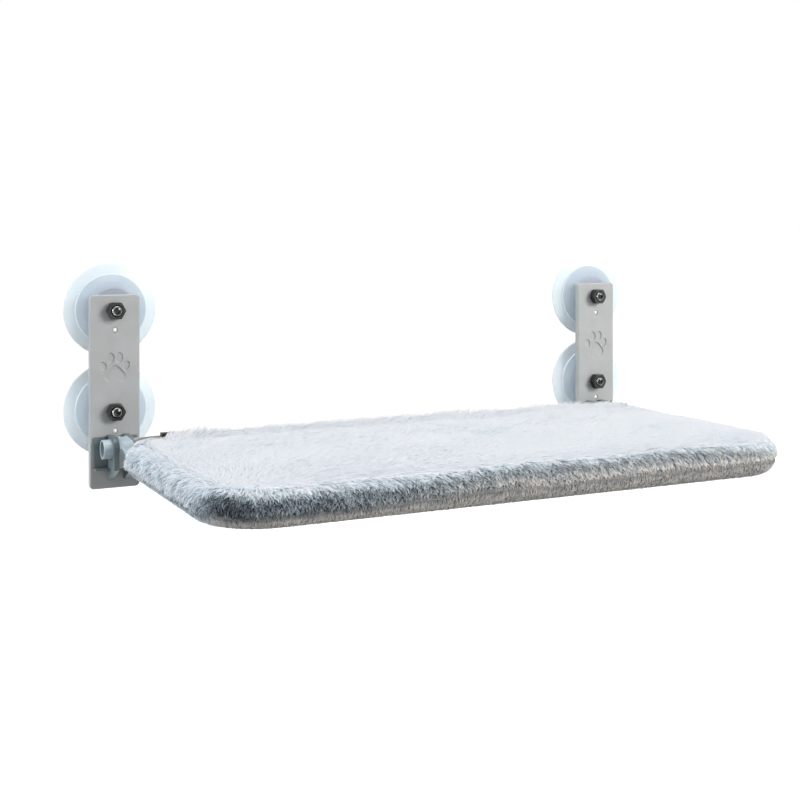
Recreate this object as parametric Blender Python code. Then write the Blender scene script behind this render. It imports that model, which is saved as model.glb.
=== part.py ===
"""Cat window hammock, built piece by piece.

X runs along the window, +Y points at the glass and +Z points up. The glass is the plane Y = 0, and the
origin is the middle of the four suction cups on it. Each bracket's pieces are placed by how far they lie
inward from the middle line of their plate, out into the room from the plate's front, and up.
"""
import math

import bmesh
import bpy
from mathutils import Vector

MM = 0.001

# Clearances between neighbours
GAP = 0.3 * MM
CUT_OVERRUN = 2.0 * MM

# Spacing of the cups on a bracket, and how far inward of its middle line the bed's rail lies
CUP_SPACING = 80.0 * MM
RAIL_FROM_PLATE = 1.6 * MM

# Suction cup, turned about the stud
CUP_RADIUS = 37.5 * MM
CUP_LIP_THICKNESS = 0.9 * MM
CUP_LIP_CHAMFER = 0.7 * MM
CUP_RIM_WIDTH = 2.4 * MM
CUP_STEP_RADIUS = 28.5 * MM
CUP_STEP_LOW = 3.2 * MM
CUP_STEP_HIGH = 4.9 * MM
CUP_SHOULDER_RADIUS = 22.5 * MM
CUP_SHOULDER_HEIGHT = 9.2 * MM
CUP_HUB_RADIUS = 17.8 * MM
CUP_HUB_LOW = 11.4 * MM
CUP_HUB_ROUNDING = 0.8 * MM
CUP_BOSS_RADIUS = 9.5 * MM
CUP_HEIGHT = 16.2 * MM
CUP_CHAMBER_DEPTH = 6.3 * MM
CUP_CHAMBER_FLAT_RADIUS = 12.0 * MM
CUP_PEG_RADIUS = 1.8 * MM
CUP_PEG_DROP = 15.4 * MM
CUP_PEG_LENGTH = 1.6 * MM
CUP_STEPS = 32

# Stud moulded into the cup
STUD_RADIUS = 3.95 * MM
STUD_FLANGE_RADIUS = 11.0 * MM
STUD_FLANGE_THICKNESS = 1.8 * MM
STUD_FLANGE_HEIGHT = 8.6 * MM
STUD_REACH = 8.6 * MM
STUD_DOME = 1.7 * MM
STUD_DOME_STEPS = 4
STUD_STEPS = 16

# Hexagon nut on the stud
NUT_FLATS = 13.0 * MM
NUT_HEIGHT = 6.5 * MM
NUT_CHAMFER = 1.1 * MM
NUT_STEPS = 18

# Bracket plate, a shallow pressed tray
PLATE_WIDTH = 40.0 * MM
PLATE_ABOVE_CUP = 12.6 * MM
PLATE_BELOW_CUP = 60.6 * MM
PLATE_THICKNESS = 1.5 * MM
PLATE_FLANGE = 5.0 * MM
PLATE_CORNER = 3.4 * MM
PLATE_BEND = 1.2 * MM
PLATE_BEND_STEPS = 3
PLATE_CORNER_STEPS = 5

# Paw ornament pressed into the plate, one pad and four toes
PAW_CENTRE_Z = -5.2 * MM
PAW_WIDTH = 24.0 * MM
PAW_HEIGHT = 23.0 * MM
PAW_DEPTH = 0.7 * MM
PAW_DRAFT = 0.7 * MM
PAW_STEPS = 20
# Each toe: middle across, middle up, half width, half height, lean in degrees
PAW_TOE_SHARES = (
    (-0.38, 0.05, 0.095, 0.150, 22.0),
    (-0.14, 0.33, 0.115, 0.170, 8.0),
    (0.14, 0.33, 0.115, 0.170, -8.0),
    (0.38, 0.05, 0.095, 0.150, -22.0),
)
# The pad's outline, clockwise from its top: across and up
PAW_PAD_SHARES = (
    (0.0, 0.08), (0.10, 0.04), (0.19, -0.06), (0.29, -0.17), (0.35, -0.29), (0.32, -0.41), (0.22, -0.47),
    (0.10, -0.43), (0.0, -0.41), (-0.10, -0.43), (-0.22, -0.47), (-0.32, -0.41), (-0.35, -0.29),
    (-0.29, -0.17), (-0.19, -0.06), (-0.10, 0.04),
)

# Hinge axis and the rear tube that turns on it
AXIS_OUT = 12.5 * MM
AXIS_BELOW_CUP = 27.4 * MM
TUBE_RADIUS = 7.5 * MM
TUBE_WALL = 1.2 * MM
TUBE_STEPS = 28

# Hinge seat on the plate: web, two cheeks and a lower shelf
SEAT_WEB = 1.5 * MM
SEAT_WEB_TOP_RISE = 8.0 * MM
SEAT_SHELF_DROP = 17.6 * MM
SEAT_SHELF_DEPTH = 8.0 * MM
SEAT_SHELF_THICKNESS = 1.3 * MM
SEAT_OUTER_EDGE = -17.0 * MM
SEAT_INNER_EDGE = 17.2 * MM
CHEEK_OUTER = -6.0 * MM
CHEEK_THICKNESS = 4.0 * MM
CHEEK_WALL = 1.7 * MM
CHEEK_FRONT_DROP = 15.6 * MM
CHEEK_TIP_DROP = 26.2 * MM
CHEEK_TIP_DEPTH = 2.4 * MM
TUBE_END_REACH = 7.4 * MM
ARC_STEPS = 12

# Rivets through seat and plate
RIVET_RADIUS = 1.6 * MM
RIVET_HEAD_RADIUS = 2.6 * MM
RIVET_HEAD_HEIGHT = 1.1 * MM
RIVET_FROM_CHEEK = 3.4 * MM
RIVET_STEPS = 12

# Support arm: hub on the tube, heel against the web, bar out to the bed
ARM_WIDTH = 8.0 * MM
ARM_HEEL_DROP = 16.4 * MM
ARM_HEEL_DEPTH = 7.0 * MM
ARM_HEEL_FRONT = 17.0 * MM
ARM_HEEL_SHOULDER_DROP = 7.0 * MM
ARM_NECK_TOP_RISE = 8.2 * MM
ARM_NECK_BOTTOM_RISE = 2.0 * MM
ARM_NECK_START = 24.0 * MM
ARM_NECK_OUT = 30.0 * MM
ARM_BAR_OUT = 40.0 * MM
ARM_BAR_TOP_RISE = 3.9 * MM
ARM_BAR_HEIGHT = 5.0 * MM
ARM_BAR_END = 118.0 * MM
GRUB_RADIUS = 2.0 * MM
GRUB_LENGTH = 4.6 * MM
GRUB_SINK = 0.4 * MM

# Plush cover: outline, thickness, roundings and crown
COVER_WIDTH = 474.0 * MM
COVER_REAR = 36.0 * MM
COVER_FRONT = 268.0 * MM
COVER_FRONT_CORNER = 50.0 * MM
COVER_REAR_CORNER = 32.0 * MM
COVER_CORNER_LEAST = 6.0 * MM
COVER_TOP_RISE = 12.5 * MM
COVER_SEAM_DROP = 2.1 * MM
COVER_BOTTOM_DROP = 16.8 * MM
COVER_CROWN = 2.2 * MM
COVER_ROUNDING = 13.0 * MM
COVER_LOWER_ROUNDING = 11.0 * MM
COVER_SIDE_WALL = 3.0 * MM
COVER_TOP_WALL = 4.3 * MM
COVER_BOTTOM_WALL = 3.8 * MM
COVER_FLOOR_BEVEL = 2.0 * MM
COVER_SEAM_DRAW = 1.2 * MM
COVER_ROUND_STEPS = 7
COVER_CROWN_STEPS = 4
COVER_CROWN_REACH = 88.0 * MM
COVER_CORNER_STEPS = 6
COVER_LONG_POINTS = 5
COVER_SHORT_POINTS = 2
NOTCH_CLEARANCE = 0.5 * MM
NOTCH_END = 80.0 * MM

# Bed frame of two bent tubes, with the joiners inside
RAIL_RADIUS = 5.0 * MM
RAIL_WALL = 1.2 * MM
RAIL_SIDES = 12
RAIL_BEND_STEPS = 6
JOINER_LENGTH = 44.0 * MM
JOINER_WALL = 1.0 * MM

# Bolts that hold the rails under the arms
BOLT_RADIUS = 2.0 * MM
BOLT_HEAD_RADIUS = 3.4 * MM
BOLT_HEAD_HEIGHT = 1.8 * MM
BOLT_LENGTH = 12.0 * MM
BOLT_END_INSET = 7.0 * MM
BOLT_PITCH = 19.0 * MM
BOLT_STEPS = 12

# Sling: a sheet with sleeves round the rails
SLEEVE_WALL = 1.0 * MM
SHEET_BELOW_TOP = 0.2 * MM
SHEET_THICKNESS = 0.7 * MM
SLEEVE_END_INSET = 7.0 * MM
SHEET_ARM_CLEARANCE = 3.0 * MM
SLEEVE_STEPS = 16

# Foam pad on the sling
FOAM_SIDE_GAP = 0.6 * MM
FOAM_ARM_CLEARANCE = 1.5 * MM
FOAM_SHOULDER_SHARE = 0.45
FOAM_ROUND_STEPS = 3

# Zip along the cover's rear upper edge
ZIP_INSET = 6.0 * MM
ZIP_WIDTH = 2.4 * MM
ZIP_TOP_RISE = 0.4 * MM
ZIP_DEPTH = 3.7 * MM
ZIP_CORNER_DEGREES = 55.0
ZIP_CORNER_STEPS = 6
SLIDER_LENGTH = 8.0 * MM
SLIDER_WIDTH = 5.6 * MM
SLIDER_FROM_CORNER = 5.4 * MM
SLIDER_BOTTOM_RISE = -0.8 * MM
SLIDER_TOP_RISE = 1.9 * MM
LUG_LENGTH = 2.6 * MM
LUG_THICKNESS = 1.2 * MM
PULL_PIN_RADIUS = 0.5 * MM
PULL_PIN_RISE = 1.0 * MM
PULL_PIN_OUT = 1.3 * MM
PULL_LENGTH = 10.0 * MM
PULL_WIDTH = 4.6 * MM
PULL_NECK = 2.6 * MM
PULL_THICKNESS = 0.9 * MM
PIN_STEPS = 10

# Places that follow from the sizes above
PLATE_FRONT_Y = -(CUP_HEIGHT + GAP + PLATE_THICKNESS)
CUP_HUB_HIGH = -PLATE_FRONT_Y - PLATE_FLANGE - GAP
AXIS_Y = PLATE_FRONT_Y - AXIS_OUT
AXIS_Z = -CUP_SPACING / 2 - AXIS_BELOW_CUP
COVER_TOP_Z = AXIS_Z + COVER_TOP_RISE
COVER_SEAM_Z = AXIS_Z - COVER_SEAM_DROP
COVER_BOTTOM_Z = AXIS_Z - COVER_BOTTOM_DROP
ZIP_TOP_Z = COVER_TOP_Z + ZIP_TOP_RISE
ZIP_BOTTOM_Z = ZIP_TOP_Z - ZIP_DEPTH
EAR_RADIUS = TUBE_RADIUS + GAP + CHEEK_WALL
ARM_OUTER = CHEEK_OUTER + CHEEK_THICKNESS + GAP
ARM_INNER = ARM_OUTER + ARM_WIDTH
INNER_CHEEK_OUTER = ARM_INNER + GAP
SEAT_WEB_FRONT = GAP + SEAT_WEB
BAR_TOP_Z = AXIS_Z + ARM_BAR_TOP_RISE
BAR_BOTTOM_Z = BAR_TOP_Z - ARM_BAR_HEIGHT
SLEEVE_RADIUS = RAIL_RADIUS + GAP + SLEEVE_WALL
RAIL_INSET = COVER_SIDE_WALL + GAP + SLEEVE_RADIUS
RAIL_Z = BAR_BOTTOM_Z - GAP - RAIL_RADIUS
RAIL_X = COVER_WIDTH / 2 - RAIL_INSET
FRONT_RAIL_CORNER = COVER_FRONT_CORNER - RAIL_INSET
REAR_RAIL_CORNER = COVER_REAR_CORNER - RAIL_INSET
RAIL_JOINT_OUT = (COVER_REAR + COVER_FRONT) / 2
PLATE_SPACING = 2 * (RAIL_X + RAIL_FROM_PLATE)
FOAM_BOTTOM_Z = RAIL_Z + SLEEVE_RADIUS + GAP
FOAM_TOP_Z = COVER_TOP_Z - COVER_TOP_WALL - GAP
SLIDER_X = -(COVER_WIDTH / 2 - COVER_REAR_CORNER) + SLIDER_FROM_CORNER
SLIDER_OUT = COVER_REAR + ZIP_INSET

# Colour, roughness and metallic value of each material
MATERIALS = {
    "grey_paint": ((0.42, 0.43, 0.43), 0.45, 0.1),
    "blue_grey_paint": ((0.36, 0.43, 0.47), 0.45, 0.1),
    "clear_vinyl": ((0.70, 0.78, 0.82), 0.18, 0.0),
    "bright_steel": ((0.75, 0.75, 0.75), 0.18, 1.0),
    "black_steel": ((0.03, 0.03, 0.03), 0.35, 0.8),
    "raw_steel": ((0.50, 0.50, 0.52), 0.35, 1.0),
    "sling_fabric": ((0.20, 0.21, 0.22), 0.9, 0.0),
    "foam": ((0.80, 0.80, 0.76), 0.95, 0.0),
    "plush_top": ((0.72, 0.77, 0.81), 0.95, 0.0),
    "plush_lower": ((0.26, 0.25, 0.24), 0.95, 0.0),
    "zip_fabric": ((0.28, 0.24, 0.22), 0.85, 0.0),
    "dark_metal": ((0.03, 0.025, 0.022), 0.35, 0.8),
}


def clear_scene():
    for item in list(bpy.data.objects):
        bpy.data.objects.remove(item, do_unlink=True)


def make_material(name):
    colour, roughness, metallic = MATERIALS[name]
    material = bpy.data.materials.new(name)
    material.use_nodes = True
    shader = material.node_tree.nodes["Principled BSDF"]
    shader.inputs["Base Color"].default_value = (*colour, 1.0)
    shader.inputs["Roughness"].default_value = roughness
    shader.inputs["Metallic"].default_value = metallic
    return material


def out_y(out):
    """World Y of a point that stands this far out from the plates' front."""
    return PLATE_FRONT_Y - out


def side_x(side, inward):
    """World X of a point this far inward from the middle line of a side's plate."""
    return side * (PLATE_SPACING / 2 - inward)


def add_empty(name, location, parent=None):
    empty = bpy.data.objects.new(name, None)
    bpy.context.scene.collection.objects.link(empty)
    empty.parent = parent
    base = parent.matrix_world.translation if parent else Vector((0, 0, 0))
    empty.location = Vector(location) - base
    bpy.context.view_layer.update()
    return empty


def add_object(name, mesh, material=None, location=(0, 0, 0), parent=None, smooth_degrees=None):
    """Link a mesh at a world place, under an optional parent."""
    item = bpy.data.objects.new(name, mesh)
    bpy.context.scene.collection.objects.link(item)
    item.parent = parent
    base = parent.matrix_world.translation if parent else Vector((0, 0, 0))
    item.location = Vector(location) - base
    if material and not mesh.materials:
        mesh.materials.append(material)
    if smooth_degrees:
        mesh.shade_smooth()
        mesh.set_sharp_from_angle(angle=math.radians(smooth_degrees))
    return item


def finish_mesh(name, shape):
    bmesh.ops.recalc_face_normals(shape, faces=shape.faces)
    mesh = bpy.data.meshes.new(name)
    shape.to_mesh(mesh)
    shape.free()
    return mesh


def add_rings(shape, rings, closed=False):
    """Skin a list of rings of points, with flat ends unless the last ring meets the first."""
    loops = [[shape.verts.new(point) for point in ring] for ring in rings]
    pairs = list(zip(loops, loops[1:]))
    if closed:
        pairs.append((loops[-1], loops[0]))
    for low, high in pairs:
        count = len(low)
        for i in range(count):
            j = (i + 1) % count
            shape.faces.new((low[i], low[j], high[j], high[i]))
    if not closed:
        shape.faces.new(loops[0])
        shape.faces.new(loops[-1])


def ring_mesh(name, rings, closed=False):
    shape = bmesh.new()
    add_rings(shape, rings, closed)
    return finish_mesh(name, shape)


def lay(axis, along, first, second):
    """A point with its place along one axis, and its places on the other two in X, Y, Z order."""
    if axis == "X":
        return (along, first, second)
    if axis == "Y":
        return (first, along, second)
    return (first, second, along)


def prism_rings(outline, axis, start, stop):
    return [[lay(axis, along, first, second) for first, second in outline] for along in (start, stop)]


def box_rings(low, high):
    (x0, y0, z0), (x1, y1, z1) = low, high
    return prism_rings(((x0, y0), (x1, y0), (x1, y1), (x0, y1)), "Z", z0, z1)


def circle(radius, steps, centre=(0, 0), turn=0.0):
    points = []
    for i in range(steps):
        angle = turn + 2 * math.pi * i / steps
        points.append((centre[0] + radius * math.cos(angle), centre[1] + radius * math.sin(angle)))
    return points


def arc(centre, radius, start_degrees, stop_degrees, steps):
    points = []
    for i in range(steps + 1):
        angle = math.radians(start_degrees + (stop_degrees - start_degrees) * i / steps)
        points.append((centre[0] + radius * math.cos(angle), centre[1] + radius * math.sin(angle)))
    return points


def turned_rings(profile, axis, steps, centre=(0, 0), turn=0.0):
    """Rings of a turned shape. The profile lists radius and place along the axis."""
    rings = []
    for radius, along in profile:
        ring = [lay(axis, along, first, second) for first, second in circle(radius, steps, centre, turn)]
        rings.append(ring)
    return rings


def joined_mesh(name, groups):
    """One mesh of several closed shapes that don't meet, each given by its rings."""
    shape = bmesh.new()
    for rings in groups:
        add_rings(shape, rings)
    return finish_mesh(name, shape)


def apply_tool(item, tool_mesh, operation, name):
    """Cut or join a piece with a hidden helper that follows it."""
    tool = bpy.data.objects.new(name, tool_mesh)
    bpy.context.scene.collection.objects.link(tool)
    tool.parent = item
    tool.hide_render = True
    tool.display_type = "WIRE"
    modifier = item.modifiers.new(name, "BOOLEAN")
    modifier.operation = operation
    modifier.solver = "EXACT"
    modifier.object = tool


def cut(item, groups, name):
    apply_tool(item, joined_mesh(name, groups), "DIFFERENCE", name)


def join(item, groups, name):
    """Join shapes that may meet each other, one helper each."""
    for number, rings in enumerate(groups):
        label = f"{name}_{number}"
        apply_tool(item, joined_mesh(label, [rings]), "UNION", label)


def rounded_outline(half_width, low, high, low_radius, high_radius, corner_steps):
    """Outline of a rounded rectangle, wide on the first axis and from low to high on the second."""
    points = []
    for x, y, radius, start in (
        (half_width - high_radius, high - high_radius, high_radius, 0.0),
        (high_radius - half_width, high - high_radius, high_radius, 90.0),
        (low_radius - half_width, low + low_radius, low_radius, 180.0),
        (half_width - low_radius, low + low_radius, low_radius, 270.0),
    ):
        points += arc((x, y), radius, start, start + 90.0, corner_steps)
    return points


# Suction cups, studs and nuts

def cup_mesh():
    """The cup about its own stud axis, from the concave face against the glass to the hub."""
    cavity_low = STUD_FLANGE_HEIGHT - GAP
    cavity_high = STUD_FLANGE_HEIGHT + STUD_FLANGE_THICKNESS + GAP
    chamber_radius = CUP_RADIUS - CUP_RIM_WIDTH
    middle_radius = (CUP_CHAMBER_FLAT_RADIUS + chamber_radius) / 2
    middle_depth = CUP_CHAMBER_DEPTH * 2 / 3
    profile = (
        (CUP_CHAMBER_FLAT_RADIUS, -CUP_CHAMBER_DEPTH),
        (middle_radius, -middle_depth),
        (chamber_radius, 0),
        (CUP_RADIUS, 0),
        (CUP_RADIUS, -CUP_LIP_THICKNESS),
        (CUP_RADIUS - CUP_LIP_CHAMFER, -CUP_LIP_THICKNESS - CUP_LIP_CHAMFER),
        (CUP_STEP_RADIUS, -CUP_STEP_LOW),
        (CUP_STEP_RADIUS, -CUP_STEP_HIGH),
        (CUP_SHOULDER_RADIUS, -CUP_SHOULDER_HEIGHT),
        (CUP_HUB_RADIUS, -CUP_HUB_LOW),
        (CUP_HUB_RADIUS, -CUP_HUB_HIGH + CUP_HUB_ROUNDING),
        (CUP_HUB_RADIUS - CUP_HUB_ROUNDING, -CUP_HUB_HIGH),
        (CUP_BOSS_RADIUS, -CUP_HUB_HIGH),
        (CUP_BOSS_RADIUS, -CUP_HEIGHT),
        (STUD_RADIUS + GAP, -CUP_HEIGHT),
        (STUD_RADIUS + GAP, -cavity_high),
        (STUD_FLANGE_RADIUS + GAP, -cavity_high),
        (STUD_FLANGE_RADIUS + GAP, -cavity_low),
    )
    return ring_mesh("suction_cup", turned_rings(profile, "Y", CUP_STEPS))


def peg_rings():
    profile = (
        (CUP_PEG_RADIUS, -CUP_HUB_LOW),
        (CUP_PEG_RADIUS, -CUP_HEIGHT - CUP_PEG_LENGTH + CUP_PEG_RADIUS / 3),
        (CUP_PEG_RADIUS * 2 / 3, -CUP_HEIGHT - CUP_PEG_LENGTH),
    )
    return turned_rings(profile, "Y", RIVET_STEPS, (0, -CUP_PEG_DROP))


def stud_mesh():
    tip = PLATE_FRONT_Y - STUD_REACH
    profile = [
        (STUD_FLANGE_RADIUS, -STUD_FLANGE_HEIGHT),
        (STUD_FLANGE_RADIUS, -STUD_FLANGE_HEIGHT - STUD_FLANGE_THICKNESS),
        (STUD_RADIUS, -STUD_FLANGE_HEIGHT - STUD_FLANGE_THICKNESS),
    ]
    for i in range(STUD_DOME_STEPS):
        angle = math.pi / 2 * i / STUD_DOME_STEPS
        profile.append((STUD_RADIUS * math.cos(angle), tip + STUD_DOME * (1 - math.sin(angle))))
    return ring_mesh("cup_stud", turned_rings(profile, "Y", STUD_STEPS))


def nut_mesh():
    """Hexagonal ring with a corner at each side and a flat on top, seated on the plate's front."""
    corner = NUT_FLATS / math.sqrt(3)
    near = PLATE_FRONT_Y - GAP
    far = near - NUT_HEIGHT
    rings = [
        [lay("Y", near, x, z) for x, z in circle(corner, 6)],
        [lay("Y", far, x, z) for x, z in circle(corner, 6)],
    ]
    return ring_mesh("cup_nut", rings)


def nut_form_rings():
    """The turned double chamfer that rounds the nut's corners off."""
    corner = NUT_FLATS / math.sqrt(3)
    near = PLATE_FRONT_Y - GAP
    far = near - NUT_HEIGHT
    slope = NUT_CHAMFER / 2
    face_radius = NUT_FLATS / 2 - NUT_CHAMFER / 4
    profile = (
        (face_radius, near),
        (corner + NUT_CHAMFER / 4, near - slope),
        (corner + NUT_CHAMFER / 4, far + slope),
        (face_radius, far),
    )
    return turned_rings(profile, "Y", NUT_STEPS)


def build_cups(materials):
    cup = cup_mesh()
    stud = stud_mesh()
    nut = nut_mesh()
    bore = circle(STUD_RADIUS + GAP, STUD_STEPS)
    near = PLATE_FRONT_Y + CUT_OVERRUN
    far = PLATE_FRONT_Y - NUT_HEIGHT - GAP - CUT_OVERRUN
    for side, side_name in ((-1, "left"), (1, "right")):
        for level, level_name in ((1, "upper"), (-1, "lower")):
            place = (side * PLATE_SPACING / 2, 0, level * CUP_SPACING / 2)
            label = f"{side_name}_{level_name}"
            item = add_object(f"suction_cup_{label}", cup, materials["clear_vinyl"], place, smooth_degrees=50)
            join(item, [peg_rings()], f"peg_{label}")
            add_object(f"cup_stud_{label}", stud, materials["bright_steel"], place, smooth_degrees=40)
            item = add_object(f"cup_nut_{label}", nut, materials["black_steel"], place)
            form = joined_mesh(f"nut_form_{label}", [nut_form_rings()])
            apply_tool(item, form, "INTERSECT", f"nut_form_{label}")
            cut(item, [prism_rings(bore, "Y", near, far)], f"nut_bore_{label}")


# Bracket plates

def tray_rings():
    """The plate's skin: front face, bend, flange and the hollow behind."""
    half = PLATE_WIDTH / 2
    top = CUP_SPACING / 2 + PLATE_ABOVE_CUP
    bottom = -CUP_SPACING / 2 - PLATE_BELOW_CUP
    rings = []
    for i in range(PLATE_BEND_STEPS + 1):
        angle = math.pi / 2 * i / PLATE_BEND_STEPS
        inset = PLATE_BEND * (1 - math.sin(angle))
        depth = PLATE_BEND * (1 - math.cos(angle))
        rings.append((inset, depth))
    rings.append((0, PLATE_FLANGE))
    rings.append((PLATE_THICKNESS, PLATE_FLANGE))
    rings.append((PLATE_THICKNESS, PLATE_THICKNESS))
    result = []
    for inset, depth in rings:
        radius = PLATE_CORNER - inset
        low, high = bottom + inset, top - inset
        outline = rounded_outline(half - inset, low, high, radius, radius, PLATE_CORNER_STEPS)
        result.append([lay("Y", PLATE_FRONT_Y + depth, x, z) for x, z in outline])
    return result


def drafted_rings(outline, centre):
    """A shallow recess cutter, wider at the plate's face than at its floor."""
    reach = max(math.dist(point, centre) for point in outline)
    rings = []
    for depth in (-PAW_DEPTH, PAW_DEPTH):
        share = 1 - PAW_DRAFT * depth / PAW_DEPTH / 2 / reach
        ring = []
        for x, z in outline:
            x = centre[0] + (x - centre[0]) * share
            z = centre[1] + (z - centre[1]) * share
            ring.append(lay("Y", PLATE_FRONT_Y + depth, x, z))
        rings.append(ring)
    return rings


def paw_groups():
    groups = []
    for across, up, half_width, half_height, lean in PAW_TOE_SHARES:
        centre = (across * PAW_WIDTH, PAW_CENTRE_Z + up * PAW_HEIGHT)
        turn = math.radians(lean)
        outline = []
        for x, z in circle(1, PAW_STEPS):
            x = x * half_width * PAW_WIDTH
            z = z * half_height * PAW_HEIGHT
            turned_x = x * math.cos(turn) - z * math.sin(turn)
            turned_z = x * math.sin(turn) + z * math.cos(turn)
            outline.append((centre[0] + turned_x, centre[1] + turned_z))
        groups.append(drafted_rings(outline, centre))
    pad = [(x * PAW_WIDTH, PAW_CENTRE_Z + z * PAW_HEIGHT) for x, z in PAW_PAD_SHARES]
    low = min(z for x, z in pad)
    high = max(z for x, z in pad)
    groups.append(drafted_rings(pad, (0, (low + high) / 2)))
    return groups


def rivet_places():
    """Inward places of the two rivets in a seat."""
    return (CHEEK_OUTER - RIVET_FROM_CHEEK, INNER_CHEEK_OUTER + CHEEK_THICKNESS + RIVET_FROM_CHEEK)


def build_plate(side, name, materials):
    mesh = ring_mesh(name, tray_rings())
    item = add_object(name, mesh, materials["grey_paint"], (side * PLATE_SPACING / 2, 0, 0))
    near = PLATE_FRONT_Y - CUT_OVERRUN
    far = PLATE_FRONT_Y + PLATE_THICKNESS + CUT_OVERRUN
    holes = []
    for level in (1, -1):
        z = level * CUP_SPACING / 2
        holes.append(prism_rings(circle(STUD_RADIUS + GAP, STUD_STEPS, (0, z)), "Y", near, far))
        peg = circle(CUP_PEG_RADIUS + GAP, RIVET_STEPS, (0, z - CUP_PEG_DROP))
        holes.append(prism_rings(peg, "Y", near, far))
    for inward in rivet_places():
        rivet = circle(RIVET_RADIUS + GAP, RIVET_STEPS, (-side * inward, AXIS_Z))
        holes.append(prism_rings(rivet, "Y", near, far))
    cut(item, holes, f"{name}_holes")
    cut(item, paw_groups(), f"{name}_paw")


# Hinge seats and their rivets

def cheek_outline():
    """Side view of a cheek as world Y and Z: round over the tube, straight front, slanted foot."""
    centre = (AXIS_Y, AXIS_Z)
    back = out_y(GAP)
    front = AXIS_Y - EAR_RADIUS
    points = arc(centre, EAR_RADIUS, 90.0, 180.0, ARC_STEPS)
    points.append((front, AXIS_Z - CHEEK_FRONT_DROP))
    points.append((out_y(CHEEK_TIP_DEPTH), AXIS_Z - CHEEK_TIP_DROP))
    points.append((back, AXIS_Z - CHEEK_TIP_DROP))
    points.append((back, AXIS_Z + EAR_RADIUS))
    return points


def seat_web_rings(side):
    low_x, high_x = sorted((side_x(side, SEAT_OUTER_EDGE), side_x(side, SEAT_INNER_EDGE)))
    low_z = AXIS_Z - SEAT_SHELF_DROP
    high_z = AXIS_Z + SEAT_WEB_TOP_RISE
    return box_rings((low_x, out_y(SEAT_WEB_FRONT), low_z), (high_x, out_y(GAP), high_z))


def seat_shelf_rings(side, start, stop):
    low_x, high_x = sorted((side_x(side, start), side_x(side, stop)))
    low_z = AXIS_Z - SEAT_SHELF_DROP
    far = out_y(GAP + SEAT_SHELF_DEPTH)
    near = out_y(GAP + SEAT_WEB / 2)
    thickness = SEAT_SHELF_THICKNESS
    return box_rings((low_x, far, low_z + thickness / 4), (high_x, near, low_z + thickness * 5 / 4))


def build_seat(side, name, materials):
    item = add_object(name, ring_mesh(name, seat_web_rings(side)), materials["blue_grey_paint"])
    outline = cheek_outline()
    cheek_inner = CHEEK_OUTER + CHEEK_THICKNESS
    inner_cheek_inner = INNER_CHEEK_OUTER + CHEEK_THICKNESS
    groups = []
    for start, stop in ((CHEEK_OUTER, cheek_inner), (INNER_CHEEK_OUTER, inner_cheek_inner)):
        groups.append(prism_rings(outline, "X", side_x(side, start), side_x(side, stop)))
    middle = CHEEK_THICKNESS / 2
    groups.append(seat_shelf_rings(side, SEAT_OUTER_EDGE, CHEEK_OUTER + middle))
    groups.append(seat_shelf_rings(side, inner_cheek_inner - middle, SEAT_INNER_EDGE))
    join(item, groups, f"{name}_form")
    bore = circle(TUBE_RADIUS + GAP, TUBE_STEPS, (AXIS_Y, AXIS_Z))
    start = side_x(side, CHEEK_OUTER - CUT_OVERRUN)
    stop = side_x(side, inner_cheek_inner + CUT_OVERRUN)
    cut(item, [prism_rings(bore, "X", start, stop)], f"{name}_bore")
    holes = []
    for inward in rivet_places():
        place = (side_x(side, inward), AXIS_Z)
        rivet = circle(RIVET_RADIUS + GAP, RIVET_STEPS, place)
        holes.append(prism_rings(rivet, "Y", out_y(SEAT_WEB_FRONT + CUT_OVERRUN), out_y(-CUT_OVERRUN)))
    cut(item, holes, f"{name}_rivet_holes")


def build_rivets(side, side_name, materials):
    front = out_y(SEAT_WEB_FRONT + GAP)
    back = PLATE_FRONT_Y + PLATE_THICKNESS + GAP
    edge_radius = RIVET_HEAD_RADIUS * 3 / 4
    profile = (
        (edge_radius, front - RIVET_HEAD_HEIGHT),
        (RIVET_HEAD_RADIUS, front - RIVET_HEAD_HEIGHT / 2),
        (RIVET_HEAD_RADIUS, front),
        (RIVET_RADIUS, front),
        (RIVET_RADIUS, back),
        (RIVET_HEAD_RADIUS, back),
        (RIVET_HEAD_RADIUS, back + RIVET_HEAD_HEIGHT / 2),
        (edge_radius, back + RIVET_HEAD_HEIGHT),
    )
    rivet = ring_mesh("seat_rivet", turned_rings(profile, "Y", RIVET_STEPS))
    for inward, place_name in zip(rivet_places(), ("outer", "inner")):
        place = (side_x(side, inward), 0, AXIS_Z)
        name = f"seat_rivet_{side_name}_{place_name}"
        add_object(name, rivet, materials["raw_steel"], place, smooth_degrees=40)


# Rear tube and support arms

def tube_rings():
    reach = PLATE_SPACING / 2 - CHEEK_OUTER + TUBE_END_REACH
    centre = (AXIS_Y, AXIS_Z)
    inner = TUBE_RADIUS - TUBE_WALL
    profile = ((TUBE_RADIUS, -reach), (TUBE_RADIUS, reach), (inner, reach), (inner, -reach))
    return turned_rings(profile, "X", TUBE_STEPS, centre)


def grub_place(side):
    return (side_x(side, (ARM_OUTER + ARM_INNER) / 2), AXIS_Y)


def build_tube(materials, pivot):
    mesh = ring_mesh("rear_tube", tube_rings(), closed=True)
    for vertex in mesh.vertices:
        vertex.co -= pivot.matrix_world.translation
    place = pivot.matrix_world.translation
    item = add_object("rear_tube", mesh, materials["blue_grey_paint"], place, pivot, 40)
    holes = []
    for side in (-1, 1):
        x, y = grub_place(side)
        low = TUBE_RADIUS / 2
        high = TUBE_RADIUS + CUT_OVERRUN
        holes.append(prism_rings(circle(GRUB_RADIUS + GAP, BOLT_STEPS, (x, y - AXIS_Y)), "Z", low, high))
    cut(item, holes, "tube_holes")


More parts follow.
